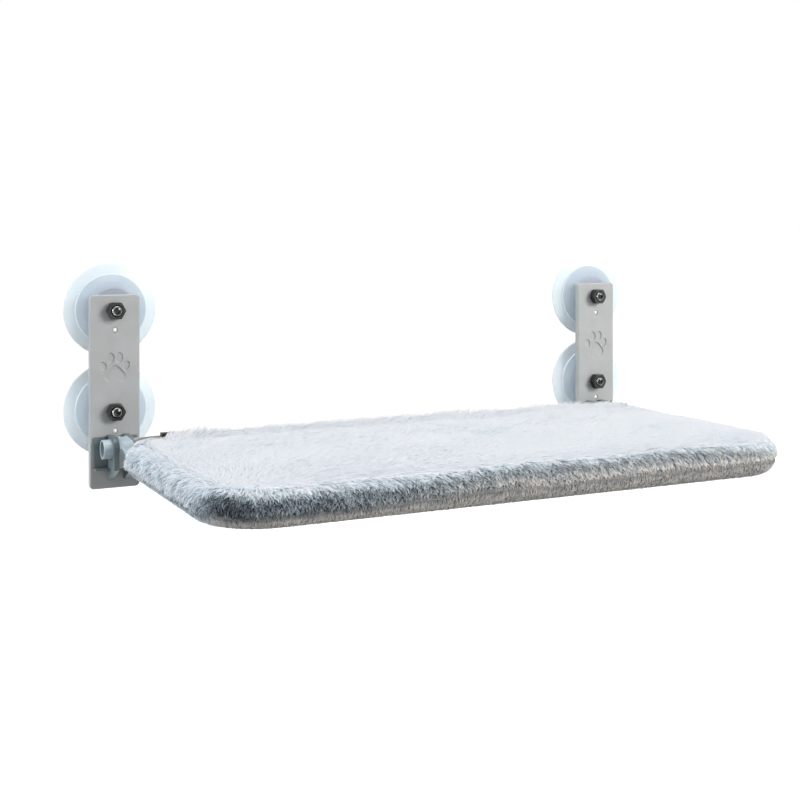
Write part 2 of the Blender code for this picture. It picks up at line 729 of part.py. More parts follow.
def arm_outline():
    """Side view of an arm as world Y and Z: hub, heel, neck and bar."""
    centre = (AXIS_Y, AXIS_Z)
    heel_back = out_y(SEAT_WEB_FRONT + GAP)
    points = [
        (out_y(ARM_BAR_END), BAR_TOP_Z),
        (out_y(ARM_BAR_OUT), BAR_TOP_Z),
        (out_y(ARM_NECK_OUT), AXIS_Z + ARM_NECK_TOP_RISE),
    ]
    points += arc(centre, EAR_RADIUS, 100.0, -10.0, ARC_STEPS)
    points += [
        (heel_back, AXIS_Z - EAR_RADIUS / 2),
        (heel_back, AXIS_Z - ARM_HEEL_DROP),
        (heel_back - ARM_HEEL_DEPTH, AXIS_Z - ARM_HEEL_DROP),
        (out_y(ARM_HEEL_FRONT), AXIS_Z - ARM_HEEL_SHOULDER_DROP),
        (out_y(ARM_NECK_START), AXIS_Z + ARM_NECK_BOTTOM_RISE),
        (out_y(ARM_NECK_OUT), AXIS_Z + ARM_NECK_BOTTOM_RISE),
        (out_y(ARM_BAR_OUT), BAR_BOTTOM_Z),
        (out_y(ARM_BAR_END), BAR_BOTTOM_Z),
    ]
    return points


def bolt_outs():
    last = ARM_BAR_END - BOLT_END_INSET
    return (last - BOLT_PITCH, last)


def build_arm(side, name, materials, pivot):
    start = side_x(side, ARM_OUTER)
    stop = side_x(side, ARM_INNER)
    mesh = ring_mesh(name, prism_rings(arm_outline(), "X", start, stop))
    item = add_object(name, mesh, materials["blue_grey_paint"], parent=pivot)
    bore = circle(TUBE_RADIUS + GAP, TUBE_STEPS, (AXIS_Y, AXIS_Z))
    holes = [prism_rings(bore, "X", start + side * CUT_OVERRUN, stop - side * CUT_OVERRUN)]
    cut(item, holes, f"{name}_bore")
    low = AXIS_Z + TUBE_RADIUS / 2
    high = AXIS_Z + EAR_RADIUS + CUT_OVERRUN
    screw_holes = [prism_rings(circle(GRUB_RADIUS + GAP, BOLT_STEPS, grub_place(side)), "Z", low, high)]
    for out in bolt_outs():
        place = (side * RAIL_X, out_y(out))
        screw_holes.append(turned_rings(bolt_hole_profile(), "Z", BOLT_STEPS, place))
    cut(item, screw_holes, f"{name}_screw_holes")


def bolt_hole_profile():
    top = BAR_TOP_Z + CUT_OVERRUN
    neck = BAR_TOP_Z - BOLT_HEAD_HEIGHT
    return (
        (BOLT_RADIUS + GAP, BAR_BOTTOM_Z - CUT_OVERRUN),
        (BOLT_RADIUS + GAP, neck),
        (BOLT_HEAD_RADIUS + GAP, BAR_TOP_Z),
        (BOLT_HEAD_RADIUS + GAP, top),
    )


def bolt_profile():
    """A countersunk bolt, hanging down from the top of its head."""
    return (
        (BOLT_RADIUS, -BOLT_LENGTH),
        (BOLT_RADIUS, -BOLT_HEAD_HEIGHT),
        (BOLT_HEAD_RADIUS, 0),
    )


def build_screws(side, side_name, materials, pivot):
    grub = ring_mesh("grub_screw", prism_rings(circle(GRUB_RADIUS, BOLT_STEPS), "Z", -GRUB_LENGTH, 0))
    place = (*grub_place(side), AXIS_Z + EAR_RADIUS - GRUB_SINK)
    add_object(f"grub_screw_{side_name}", grub, materials["black_steel"], place, pivot, 40)
    bolt = ring_mesh("arm_bolt", turned_rings(bolt_profile(), "Z", BOLT_STEPS))
    for out, place_name in zip(bolt_outs(), ("inner", "outer")):
        place = (side * RAIL_X, out_y(out), BAR_TOP_Z - GAP / 2)
        add_object(f"arm_bolt_{side_name}_{place_name}", bolt, materials["raw_steel"], place, pivot, 40)


# Bed frame

def rail_path(out_start, out_bend, radius, direction):
    """Level path of a bow: up one side, across the end and back down the other side.

    direction is -1 for the bow at the rear, whose end lies nearer the window, and 1 for the front.
    """
    corner_x = RAIL_X - radius
    corner_out = out_bend - direction * radius
    path = [(-RAIL_X, out_y(out_start))]
    for sign in (-1, 1):
        for i in range(RAIL_BEND_STEPS + 1):
            step = i if sign < 0 else RAIL_BEND_STEPS - i
            angle = math.pi / 2 * step / RAIL_BEND_STEPS
            x = sign * (corner_x + radius * math.cos(angle))
            out = corner_out + direction * radius * math.sin(angle)
            path.append((x, out_y(out)))
    path.append((RAIL_X, out_y(out_start)))
    return path


def pipe_rings(path, radius, sides, z):
    """Rings round a level path, square to it at each point."""
    rings = []
    for i, (x, y) in enumerate(path):
        before = Vector(path[max(i - 1, 0)])
        here = Vector((x, y))
        after = Vector(path[min(i + 1, len(path) - 1)])
        backward = (here - before).normalized() if i else Vector((0, 0))
        forward = (after - here).normalized() if i < len(path) - 1 else Vector((0, 0))
        along = (backward + forward).normalized()
        stretch = 1 / max(along.dot(forward if i < len(path) - 1 else backward), 0.5)
        across = Vector((-along.y, along.x))
        ring = []
        for first, second in circle(radius, sides, turn=math.pi / sides):
            point = here + across * first * stretch
            ring.append((point.x, point.y, z + second))
        rings.append(ring)
    return rings


def hollow_pipe_mesh(name, path, radius, wall, sides, z):
    outer = pipe_rings(path, radius, sides, z)
    inner = pipe_rings(path, radius - wall, sides, z)
    return ring_mesh(name, outer + inner[::-1], closed=True)


def build_bows(materials, pivot):
    rear_out = COVER_REAR + RAIL_INSET
    front_out = COVER_FRONT - RAIL_INSET
    rear = rail_path(RAIL_JOINT_OUT - GAP / 2, rear_out, REAR_RAIL_CORNER, -1)
    front = rail_path(RAIL_JOINT_OUT + GAP / 2, front_out, FRONT_RAIL_CORNER, 1)
    steel = materials["raw_steel"]
    for name, path in (("rear_bow", rear), ("front_bow", front)):
        mesh = hollow_pipe_mesh(name, path, RAIL_RADIUS, RAIL_WALL, RAIL_SIDES, RAIL_Z)
        item = add_object(name, mesh, steel, parent=pivot, smooth_degrees=50)
        if name == "rear_bow":
            holes = []
            for side in (-1, 1):
                for out in bolt_outs():
                    hole = circle(BOLT_RADIUS + GAP, BOLT_STEPS, (side * RAIL_X, out_y(out)))
                    holes.append(prism_rings(hole, "Z", RAIL_Z, RAIL_Z + RAIL_RADIUS + CUT_OVERRUN))
            cut(item, holes, "rear_bow_holes")
    radius = RAIL_RADIUS - RAIL_WALL - GAP
    half = JOINER_LENGTH / 2
    for side, name in ((-1, "bow_joiner_left"), (1, "bow_joiner_right")):
        path = [(side * RAIL_X, out_y(RAIL_JOINT_OUT - half)), (side * RAIL_X, out_y(RAIL_JOINT_OUT + half))]
        mesh = hollow_pipe_mesh(name, path, radius, JOINER_WALL, RAIL_SIDES, RAIL_Z)
        add_object(name, mesh, steel, parent=pivot, smooth_degrees=50)


def sleeve_spans():
    """Axis, fixed place and span of each sleeve, all straight stretches of the rails."""
    rear_out = COVER_REAR + RAIL_INSET
    front_out = COVER_FRONT - RAIL_INSET
    side_start = ARM_BAR_END + SHEET_ARM_CLEARANCE
    side_stop = front_out - FRONT_RAIL_CORNER - SLEEVE_END_INSET
    rear_reach = RAIL_X - REAR_RAIL_CORNER - SLEEVE_END_INSET
    front_reach = RAIL_X - FRONT_RAIL_CORNER - SLEEVE_END_INSET
    return (
        ("Y", -RAIL_X, out_y(side_stop), out_y(side_start)),
        ("Y", RAIL_X, out_y(side_stop), out_y(side_start)),
        ("X", out_y(rear_out), -rear_reach, rear_reach),
        ("X", out_y(front_out), -front_reach, front_reach),
    )


def sheet_outline():
    """The sling's flat part, as wide as the sleeves that it ends in, and cut back at the arms."""
    rear_x = RAIL_X - REAR_RAIL_CORNER - SLEEVE_END_INSET
    front_x = RAIL_X - FRONT_RAIL_CORNER - SLEEVE_END_INSET
    arm_x = PLATE_SPACING / 2 - ARM_INNER - SHEET_ARM_CLEARANCE
    rear = out_y(COVER_REAR + RAIL_INSET)
    front = out_y(COVER_FRONT - RAIL_INSET)
    side_start = out_y(ARM_BAR_END + SHEET_ARM_CLEARANCE)
    side_stop = out_y(COVER_FRONT - RAIL_INSET - FRONT_RAIL_CORNER - SLEEVE_END_INSET)
    half = [
        (rear_x, rear),
        (arm_x, rear - (arm_x - rear_x)),
        (arm_x, side_start),
        (RAIL_X, side_start),
        (RAIL_X, side_stop),
        (front_x, front),
    ]
    return half + [(-x, y) for x, y in reversed(half)]


def build_sling(materials, pivot):
    top = RAIL_Z + SLEEVE_RADIUS - SHEET_BELOW_TOP
    rings = prism_rings(sheet_outline(), "Z", top - SHEET_THICKNESS, top)
    item = add_object("sling_panel", ring_mesh("sling_panel", rings), materials["sling_fabric"], parent=pivot)
    sleeves = []
    bores = []
    for axis, fixed, start, stop in sleeve_spans():
        outer = circle(SLEEVE_RADIUS, SLEEVE_STEPS, (fixed, RAIL_Z), math.pi / SLEEVE_STEPS)
        inner = circle(RAIL_RADIUS + GAP, SLEEVE_STEPS, (fixed, RAIL_Z), math.pi / SLEEVE_STEPS)
        sleeves.append(prism_rings(outer, axis, start, stop))
        bores.append(prism_rings(inner, axis, start - CUT_OVERRUN, stop + CUT_OVERRUN))
    join(item, sleeves, "sling_sleeve")
    cut(item, bores, "sling_bores")


# Plush cover and foam pad

def cover_outline(inset):
    """The bed's outline, drawn in by an inset, with the same number of points at every inset."""
    half = COVER_WIDTH / 2 - inset
    low = out_y(COVER_FRONT - inset)
    high = out_y(COVER_REAR + inset)
    front_radius = max(COVER_FRONT_CORNER - inset, COVER_CORNER_LEAST)
    rear_radius = max(COVER_REAR_CORNER - inset, COVER_CORNER_LEAST)
    corners = rounded_outline(half, low, high, front_radius, rear_radius, COVER_CORNER_STEPS)
    per_corner = COVER_CORNER_STEPS + 1
    points = []
    for number in range(4):
        points += corners[number * per_corner:(number + 1) * per_corner]
        start = Vector(points[-1])
        stop = Vector(corners[(number + 1) * per_corner % len(corners)])
        count = COVER_LONG_POINTS if number % 2 == 0 else COVER_SHORT_POINTS
        for i in range(1, count + 1):
            points.append(tuple(start.lerp(stop, i / (count + 1))))
    return points


def crown_height(inset):
    """How far the crown rises at this inset above the cushion's upper edge."""
    share = min(max(inset - COVER_ROUNDING, 0) / (COVER_CROWN_REACH - COVER_ROUNDING), 1)
    return COVER_CROWN * (1 - (1 - share) ** 2)


def rounded_profile(side_inset, rounding, seam_z, flat_z, steps, seam_draw=0.0):
    """Inset and height of each ring from the seam to the flat face, round at the edge."""
    profile = []
    for i in range(steps + 1):
        angle = math.pi / 2 * i / steps
        inset = side_inset + rounding * (1 - math.cos(angle))
        if i == 0:
            inset += seam_draw
        profile.append((inset, seam_z + (flat_z - seam_z) * math.sin(angle)))
    return profile


def crown_profile(start_inset, flat_z):
    profile = []
    for i in range(1, COVER_CROWN_STEPS + 1):
        inset = start_inset + (COVER_CROWN_REACH - start_inset) * i / COVER_CROWN_STEPS
        profile.append((inset, flat_z + crown_height(inset)))
    return profile


def cover_rings(profile):
    return [[(x, y, z) for x, y in cover_outline(inset)] for inset, z in profile]


def zip_path(inset):
    """Level path of the zip, along the rear edge and round a part of both rear corners."""
    corner_x = COVER_WIDTH / 2 - COVER_REAR_CORNER
    radius = COVER_REAR_CORNER - inset
    path = []
    for sign in (-1, 1):
        for i in range(ZIP_CORNER_STEPS + 1):
            step = ZIP_CORNER_STEPS - i if sign < 0 else i
            angle = math.radians(ZIP_CORNER_DEGREES) * step / ZIP_CORNER_STEPS
            x = sign * (corner_x + radius * math.sin(angle))
            out = COVER_REAR + COVER_REAR_CORNER - radius * math.cos(angle)
            path.append((x, out_y(out)))
    return path


def zip_rings(half_width, low, high):
    near = zip_path(ZIP_INSET - half_width)
    far = zip_path(ZIP_INSET + half_width)
    rings = []
    for (x0, y0), (x1, y1) in zip(near, far):
        rings.append([(x0, y0, low), (x1, y1, low), (x1, y1, high), (x0, y0, high)])
    return rings


def notch_rings(side):
    """The opening in the cover that an arm passes through, open down to the seam."""
    outer_x = side_x(side, ARM_OUTER - NOTCH_CLEARANCE)
    inner_x = side_x(side, ARM_INNER + NOTCH_CLEARANCE)
    low_z = COVER_SEAM_Z - CUT_OVERRUN
    high_z = BAR_TOP_Z + NOTCH_CLEARANCE
    far = out_y(NOTCH_END)
    near = out_y(COVER_REAR - CUT_OVERRUN)
    return box_rings((min(outer_x, inner_x), far, low_z), (max(outer_x, inner_x), near, high_z))


def build_cover(materials, pivot):
    seam = COVER_SEAM_Z + GAP / 2
    steps = COVER_ROUND_STEPS
    outer = rounded_profile(0, COVER_ROUNDING, seam, COVER_TOP_Z, steps, COVER_SEAM_DRAW)
    outer += crown_profile(COVER_ROUNDING, COVER_TOP_Z)
    ceiling = COVER_TOP_Z - COVER_TOP_WALL
    inner = rounded_profile(COVER_SIDE_WALL, COVER_ROUNDING - COVER_SIDE_WALL, seam, ceiling, steps - 2)
    inner += crown_profile(COVER_ROUNDING, ceiling)
    mesh = ring_mesh("plush_cover_top", cover_rings(outer[::-1] + inner))
    item = add_object("plush_cover_top", mesh, materials["plush_top"], parent=pivot, smooth_degrees=60)
    cut(item, [notch_rings(side) for side in (-1, 1)], "cover_notches")
    cut(item, [zip_rings(ZIP_WIDTH / 2 + GAP, ZIP_BOTTOM_Z - GAP, ZIP_TOP_Z + CUT_OVERRUN)], "cover_zip_slot")

    seam = COVER_SEAM_Z - GAP / 2
    outer = rounded_profile(0, COVER_LOWER_ROUNDING, seam, COVER_BOTTOM_Z, steps - 1, COVER_SEAM_DRAW)
    floor = COVER_BOTTOM_Z + COVER_BOTTOM_WALL
    inner = [
        (COVER_SIDE_WALL, seam),
        (COVER_SIDE_WALL, floor + COVER_FLOOR_BEVEL),
        (COVER_SIDE_WALL + COVER_FLOOR_BEVEL, floor),
    ]
    mesh = ring_mesh("plush_cover_lower", cover_rings(outer[::-1] + inner))
    add_object("plush_cover_lower", mesh, materials["plush_lower"], parent=pivot, smooth_degrees=60)


def build_foam(materials, pivot):
    """Pad between sling and cover, notched round the arms."""
    edge = COVER_SIDE_WALL + FOAM_SIDE_GAP
    shoulder = FOAM_BOTTOM_Z + (FOAM_TOP_Z - FOAM_BOTTOM_Z) * FOAM_SHOULDER_SHARE
    profile = [(edge, FOAM_BOTTOM_Z)]
    lift = (shoulder - COVER_SEAM_Z) / (FOAM_TOP_Z - COVER_SEAM_Z)
    first = math.asin(lift)
    for i in range(FOAM_ROUND_STEPS + 1):
        angle = first + (math.pi / 2 - first) * i / FOAM_ROUND_STEPS
        inset = edge + (COVER_ROUNDING - COVER_SIDE_WALL) * (1 - math.cos(angle))
        profile.append((inset, COVER_SEAM_Z + (FOAM_TOP_Z - COVER_SEAM_Z) * math.sin(angle)))
    profile += crown_profile(COVER_ROUNDING + FOAM_SIDE_GAP, FOAM_TOP_Z - FOAM_SIDE_GAP / 4)
    mesh = ring_mesh("foam_pad", cover_rings(profile))
    item = add_object("foam_pad", mesh, materials["foam"], parent=pivot, smooth_degrees=60)
    groups = []
    for side in (-1, 1):
        edge_x = side_x(side, ARM_INNER + FOAM_ARM_CLEARANCE)
        beyond_x = side * (COVER_WIDTH / 2 + CUT_OVERRUN)
        low_x, high_x = sorted((edge_x, beyond_x))
        far = out_y(ARM_BAR_END + FOAM_ARM_CLEARANCE)
        near = out_y(COVER_REAR - CUT_OVERRUN)
        groups.append(box_rings((low_x, far, FOAM_BOTTOM_Z - CUT_OVERRUN), (high_x, near, COVER_TOP_Z)))
    cut(item, groups, "foam_notches")


# Zip

def build_zip(materials, pivot):
    mesh = ring_mesh("zip_tape", zip_rings(ZIP_WIDTH / 2, ZIP_BOTTOM_Z, ZIP_TOP_Z))
    add_object("zip_tape", mesh, materials["zip_fabric"], parent=pivot)

    y = out_y(SLIDER_OUT)
    half_width = SLIDER_WIDTH / 2
    low = ZIP_TOP_Z + SLIDER_BOTTOM_RISE
    high = ZIP_TOP_Z + SLIDER_TOP_RISE
    left = SLIDER_X - SLIDER_LENGTH / 2
    right = SLIDER_X + SLIDER_LENGTH / 2
    lug_right = right + LUG_LENGTH
    pin_x = right + PULL_PIN_OUT
    pin_z = ZIP_TOP_Z + PULL_PIN_RISE
    runner = add_empty("zip_runner", (SLIDER_X, y, ZIP_TOP_Z), pivot)
    rings = box_rings((left, y - half_width, low), (lug_right, y + half_width, high))
    item = add_object("zip_slider", ring_mesh("zip_slider", rings), materials["dark_metal"], parent=runner)
    groove = ZIP_WIDTH / 2 + GAP
    groups = [box_rings(
        (left - CUT_OVERRUN, y - groove, low - CUT_OVERRUN),
        (lug_right + CUT_OVERRUN, y + groove, ZIP_TOP_Z + GAP),
    )]
    cut(item, groups, "slider_groove")
    slot = half_width - LUG_THICKNESS
    groups = [box_rings(
        (right, y - slot, low - CUT_OVERRUN),
        (lug_right + CUT_OVERRUN, y + slot, high + CUT_OVERRUN),
    )]
    cut(item, groups, "slider_slot")
    pin_hole = circle(PULL_PIN_RADIUS + GAP, PIN_STEPS, (pin_x, pin_z))
    groups = [prism_rings(pin_hole, "Y", y - half_width - CUT_OVERRUN, y + half_width + CUT_OVERRUN)]
    cut(item, groups, "slider_pin_hole")

    hinge = add_empty("zip_pull_hinge", (pin_x, y, pin_z), runner)
    neck = PULL_NECK / 2
    wide = PULL_WIDTH / 2
    root = pin_x - PULL_THICKNESS / 2
    shoulder = lug_right + GAP
    tip = pin_x + PULL_LENGTH
    outline = (
        (root, y - neck), (root, y + neck), (shoulder, y + neck), (shoulder + neck, y + wide),
        (tip - neck, y + wide), (tip, y + neck), (tip, y - neck), (tip - neck, y - wide),
        (shoulder + neck, y - wide), (shoulder, y - neck),
    )
    low = pin_z - PULL_THICKNESS / 2
    high = pin_z + PULL_THICKNESS / 2
    mesh = ring_mesh("zip_pull", prism_rings(outline, "Z", low, high))
    item = add_object("zip_pull", mesh, materials["dark_metal"], parent=hinge)
    pin = circle(PULL_PIN_RADIUS, PIN_STEPS, (pin_x, pin_z))
    join(item, [prism_rings(pin, "Y", y - half_width, y + half_width)], "pull_pin")


def main():
    clear_scene()
    materials = {name: make_material(name) for name in MATERIALS}
    build_cups(materials)
    pivot = add_empty("bed_pivot", (0, AXIS_Y, AXIS_Z))
    for side, side_name in ((-1, "left"), (1, "right")):
        build_plate(side, f"bracket_plate_{side_name}", materials)
        build_seat(side, f"hinge_seat_{side_name}", materials)
        build_rivets(side, side_name, materials)
        build_arm(side, f"support_arm_{side_name}", materials, pivot)
        build_screws(side, side_name, materials, pivot)
    build_tube(materials, pivot)
    build_bows(materials, pivot)
    build_sling(materials, pivot)
    build_foam(materials, pivot)
    build_cover(materials, pivot)
    build_zip(materials, pivot)


main()
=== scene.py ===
"""Dressed scene of the cat window hammock.

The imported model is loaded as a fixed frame: X runs along the window, +Y points at the glass and +Z up, and
the glass is the plane Y = 0. The brackets get finer cups, plates, nuts and studs, and the bed gets its
sewn skins, its fur, the foam, the sling, the frame's tubes and the zip.
"""
import math

import bmesh
import bpy
import numpy as np
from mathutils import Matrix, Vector


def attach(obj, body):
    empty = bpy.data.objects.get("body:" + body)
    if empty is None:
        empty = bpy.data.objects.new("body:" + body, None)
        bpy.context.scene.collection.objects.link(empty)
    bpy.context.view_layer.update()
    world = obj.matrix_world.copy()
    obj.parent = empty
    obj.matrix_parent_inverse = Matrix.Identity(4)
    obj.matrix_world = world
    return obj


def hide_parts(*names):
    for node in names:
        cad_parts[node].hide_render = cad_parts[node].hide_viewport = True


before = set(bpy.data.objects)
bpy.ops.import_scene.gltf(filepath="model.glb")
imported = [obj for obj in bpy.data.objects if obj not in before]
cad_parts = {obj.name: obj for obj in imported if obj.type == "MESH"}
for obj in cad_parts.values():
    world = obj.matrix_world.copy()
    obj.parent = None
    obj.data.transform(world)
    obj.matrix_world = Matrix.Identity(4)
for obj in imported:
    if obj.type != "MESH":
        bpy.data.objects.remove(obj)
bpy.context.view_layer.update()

MM = 0.001

# Camera, from the photograph's perspective
CAMERA_PLACE = (-0.4846, -1.0518, 0.10985)
CAMERA_TURN_DEGREES = (90.0, 0.0, -26.13)
CAMERA_LENS = 59.085
CAMERA_SHIFT_UP = -0.222

# Clearances
GAP = 0.3 * MM
CUT_OVERRUN = 2.0 * MM

# Shading: faces that meet at less than this angle are shaded as one
SMOOTH_DEGREES = 40.0
STUD_SMOOTH_DEGREES = 35.0
NUT_SMOOTH_DEGREES = 22.0
SKIN_SMOOTH_DEGREES = 60.0
FOAM_SMOOTH_DEGREES = 50.0
EVEN_SHADING_WEIGHT = 80
SOFT_EDGE_SEGMENTS = 3
SOFT_EDGE_DEGREES = 32.0

# Places of the cups, and the suction cup's turned form
CUP_X = 229.0 * MM
CUP_Z = 40.0 * MM
CUP_RADIUS = 37.5 * MM
CUP_LIP_THICKNESS = 0.9 * MM
CUP_LIP_CHAMFER = 0.7 * MM
CUP_RIM_WIDTH = 2.4 * MM
CUP_STEP_RADIUS = 28.5 * MM
CUP_STEP_LOW = 3.2 * MM
CUP_STEP_HIGH = 4.9 * MM
CUP_SHOULDER_RADIUS = 22.5 * MM
CUP_SHOULDER_HEIGHT = 9.2 * MM
CUP_HUB_RADIUS = 17.8 * MM
CUP_HUB_LOW = 11.4 * MM
CUP_HUB_HIGH = 12.7 * MM
CUP_BOSS_RADIUS = 9.5 * MM
CUP_HEIGHT = 16.2 * MM
CUP_CHAMBER_DEPTH = 6.3 * MM
CUP_CHAMBER_FLAT_RADIUS = 12.0 * MM
CUP_PEG_RADIUS = 1.8 * MM
CUP_PEG_DROP = 15.4 * MM
CUP_PEG_LENGTH = 1.6 * MM
CUP_PEG_DOME = 0.9 * MM
CUP_FILLET = 0.6 * MM
# Tint of the soft plastic from the cup's middle to its rim: darker over the dome and darkest at the hub,
# partly for the thicker plastic and partly as painted shade, with a painted highlight along the step's edge
CUP_TINT_AND_PAINTED_LIGHT_RAMP = (
    (0.46, (0.42, 0.45, 0.50)), (0.52, (0.52, 0.58, 0.64)), (0.74, (0.575, 0.64, 0.68)),
    (0.765, (0.86, 0.90, 0.92)), (0.79, (0.84, 0.885, 0.895)), (0.96, (0.86, 0.90, 0.91)),
    (1.0, (0.90, 0.92, 0.93)),
)
CUP_CLOUD_TINT = (0.86, 0.93, 1.0)
CUP_TRANSMISSION = 0.45
CUP_IOR = 1.42
CUP_SPECULAR = 0.22
CUP_ROUGHNESS = (0.24, 0.40)
CUP_CLOUD_SCALE = 60.0
CUP_GRAIN_SCALE = 500.0
CUP_GRAIN_DEPTH = 0.02 * MM
CUP_SOFT_FILLET = 2.2 * MM
CUP_STEPS = 128

# Stud in the cup
STUD_RADIUS = 3.95 * MM
STUD_FLANGE_RADIUS = 11.0 * MM
STUD_FLANGE_THICKNESS = 1.8 * MM
STUD_FLANGE_HEIGHT = 8.6 * MM
STUD_REACH = 8.6 * MM
STUD_DOME = 1.7 * MM
STUD_SOCKET_RADIUS = 1.5 * MM
STUD_SOCKET_DEPTH = 1.1 * MM
STUD_STEPS = 64
# The end's middle is painted near black as a painted reflection of dark surroundings; the ring round it keeps
# a steel tone
STUD_RING_AND_DARK_REFLECTION_RAMP = (
    (0.0, (0.05, 0.05, 0.05)), (0.72, (0.05, 0.05, 0.05)),
    (0.80, (0.30, 0.30, 0.30)), (0.95, (0.40, 0.40, 0.40)),
)
STUD_WORN_RAMP = ((0.35, (0.55, 0.55, 0.55)), (0.65, (1.0, 1.0, 1.0)))
STUD_DARK = (0.02, 0.02, 0.02)
STUD_SPECK_SCALE = 900.0
STUD_ROUGHNESS = (0.14, 0.26)
THREAD_PITCH = 1.25 * MM
THREAD_DEPTH = 0.35 * MM

# Hexagon nut
NUT_FLATS = 13.0 * MM
NUT_HEIGHT = 6.5 * MM
NUT_CHAMFER_DEGREES = 28.0
NUT_BORE_CHAMFER = 0.6 * MM
NUT_STEPS = 96

# Bracket plate
PLATE_FRONT_Y = -18.0 * MM
PLATE_WIDTH = 40.0 * MM
PLATE_TOP_Z = 52.6 * MM
PLATE_BOTTOM_Z = -100.6 * MM
PLATE_THICKNESS = 1.5 * MM
PLATE_FLANGE = 5.0 * MM
PLATE_CORNER = 3.4 * MM
PLATE_BEND = 1.2 * MM
PLATE_EDGE = 0.25 * MM
PLATE_CORNER_STEPS = 14
PLATE_BEND_STEPS = 8

# Paw ornament pressed into the plate, one pad and four toes
PAW_CENTRE_Z = -5.2 * MM
PAW_WIDTH = 24.0 * MM
PAW_HEIGHT = 23.0 * MM
PAW_STEPS = 48
# Each toe: middle across, middle up, half width, half height, lean in degrees
PAW_TOE_SHARES = (
    (-0.38, 0.05, 0.095, 0.150, 22.0),
    (-0.14, 0.33, 0.115, 0.170, 8.0),
    (0.14, 0.33, 0.115, 0.170, -8.0),
    (0.38, 0.05, 0.095, 0.150, -22.0),
)
# The pad's outline, clockwise from its top: across and up
PAW_PAD_SHARES = (
    (0.0, 0.08), (0.10, 0.04), (0.19, -0.06), (0.29, -0.17), (0.35, -0.29), (0.32, -0.41), (0.22, -0.47),
    (0.10, -0.43), (0.0, -0.41), (-0.10, -0.43), (-0.22, -0.47), (-0.32, -0.41), (-0.35, -0.29),
    (-0.29, -0.17), (-0.19, -0.06), (-0.10, 0.04),
)
# The press's section: depth into the plate and how far the outline stands out there
PAW_PAD_ROUNDS = 2
PAW_PRESS_DEPTH = 0.9 * MM
PAW_PRESS_SPREAD = 0.5 * MM
PAW_PRESS_SHARES = ((-0.4, 1.0), (0.0, 0.9), (0.25, 0.45), (0.65, 0.05), (0.92, -0.35), (1.0, -1.0))

# Hinge axis, rear tube and rivets
AXIS_OUT = 12.5 * MM
AXIS_Z = -67.4 * MM
TUBE_RADIUS = 7.5 * MM
TUBE_WALL = 1.2 * MM
TUBE_REACH = 242.4 * MM
TUBE_EDGE = 0.35 * MM
TUBE_STEPS = 72
GRUB_RADIUS = 2.0 * MM
RIVET_RADIUS = 1.6 * MM
RIVET_OUTER_INWARD = -9.4 * MM
RIVET_INNER_INWARD = 14.0 * MM

# Support arms, as far as the bed has to let them through
ARM_OUTER = -1.7 * MM
ARM_INNER = 6.3 * MM
ARM_BAR_TOP_Z = -63.5 * MM
ARM_BAR_END = 118.0 * MM
NOTCH_CLEARANCE = 0.5 * MM
NOTCH_END = 80.0 * MM

# Plush cover
COVER_WIDTH = 474.0 * MM
COVER_REAR = 36.0 * MM
COVER_FRONT = 268.0 * MM
COVER_FRONT_CORNER = 50.0 * MM
COVER_REAR_CORNER = 32.0 * MM
COVER_TOP_Z = -54.9 * MM
COVER_SEAM_Z = -69.5 * MM
COVER_BOTTOM_Z = -84.2 * MM
COVER_CROWN = 2.2 * MM
COVER_CROWN_REACH = 88.0 * MM
COVER_ROUNDING = 13.0 * MM
COVER_LOWER_ROUNDING = 11.0 * MM
COVER_SEAM_DRAW = 1.2 * MM
SKIN_THICKNESS = 0.6 * MM
SKIN_DEPTH_TOP = 3.0 * MM
SKIN_DEPTH_SIDE = 2.2 * MM
SKIN_WAVE = 0.7 * MM
SKIN_WAVE_LENGTH = 90.0 * MM
COVER_LEAST_CORNER = 4.0 * MM
SKIN_ROUND_STEPS = 12
SKIN_CROWN_STEPS = 10
SKIN_CORNER_STEPS = 14
SKIN_LONG_POINTS = 46
SKIN_SHORT_POINTS = 20

# Foam pad and its notches round the arms
FOAM_EDGE = 3.6 * MM
FOAM_BOTTOM_Z = -67.2 * MM
FOAM_TOP_Z = -59.5 * MM
FOAM_ROUNDING = 6.0 * MM
FOAM_SIDE_HEIGHT = 2.0 * MM
FOAM_ARM_CLEARANCE = 1.5 * MM

# Bed frame of two bent tubes, with the joiners inside
RAIL_X = 227.4 * MM
RAIL_Z = -73.8 * MM
RAIL_INSET = 9.6 * MM
RAIL_RADIUS = 5.0 * MM
RAIL_WALL = 1.2 * MM
RAIL_JOINT_OUT = 152.0 * MM
RAIL_SIDES = 32
RAIL_BEND_STEPS = 20
JOINER_LENGTH = 44.0 * MM
JOINER_WALL = 1.0 * MM
BOLT_RADIUS = 2.0 * MM
BOLT_OUTS = (92.0 * MM, 111.0 * MM)

# Sling
SLEEVE_RADIUS = 6.3 * MM
SHEET_THICKNESS = 0.7 * MM
SHEET_BELOW_TOP = 0.2 * MM
SLEEVE_END_INSET = 7.0 * MM
SHEET_ARM_CLEARANCE = 3.0 * MM

# Zip
ZIP_INSET = 6.0 * MM
ZIP_WIDTH = 2.4 * MM
ZIP_TOP_Z = -54.5 * MM
ZIP_BOTTOM_Z = -58.2 * MM
ZIP_CORNER_DEGREES = 55.0
ZIP_TAPE_TOP_Z = -55.2 * MM
TOOTH_PITCH = 1.3 * MM
TOOTH_LENGTH = 0.75 * MM
TOOTH_WIDTH = 1.7 * MM
TOOTH_HEIGHT = 0.7 * MM
TOOTH_TOP_SHARE = 0.8

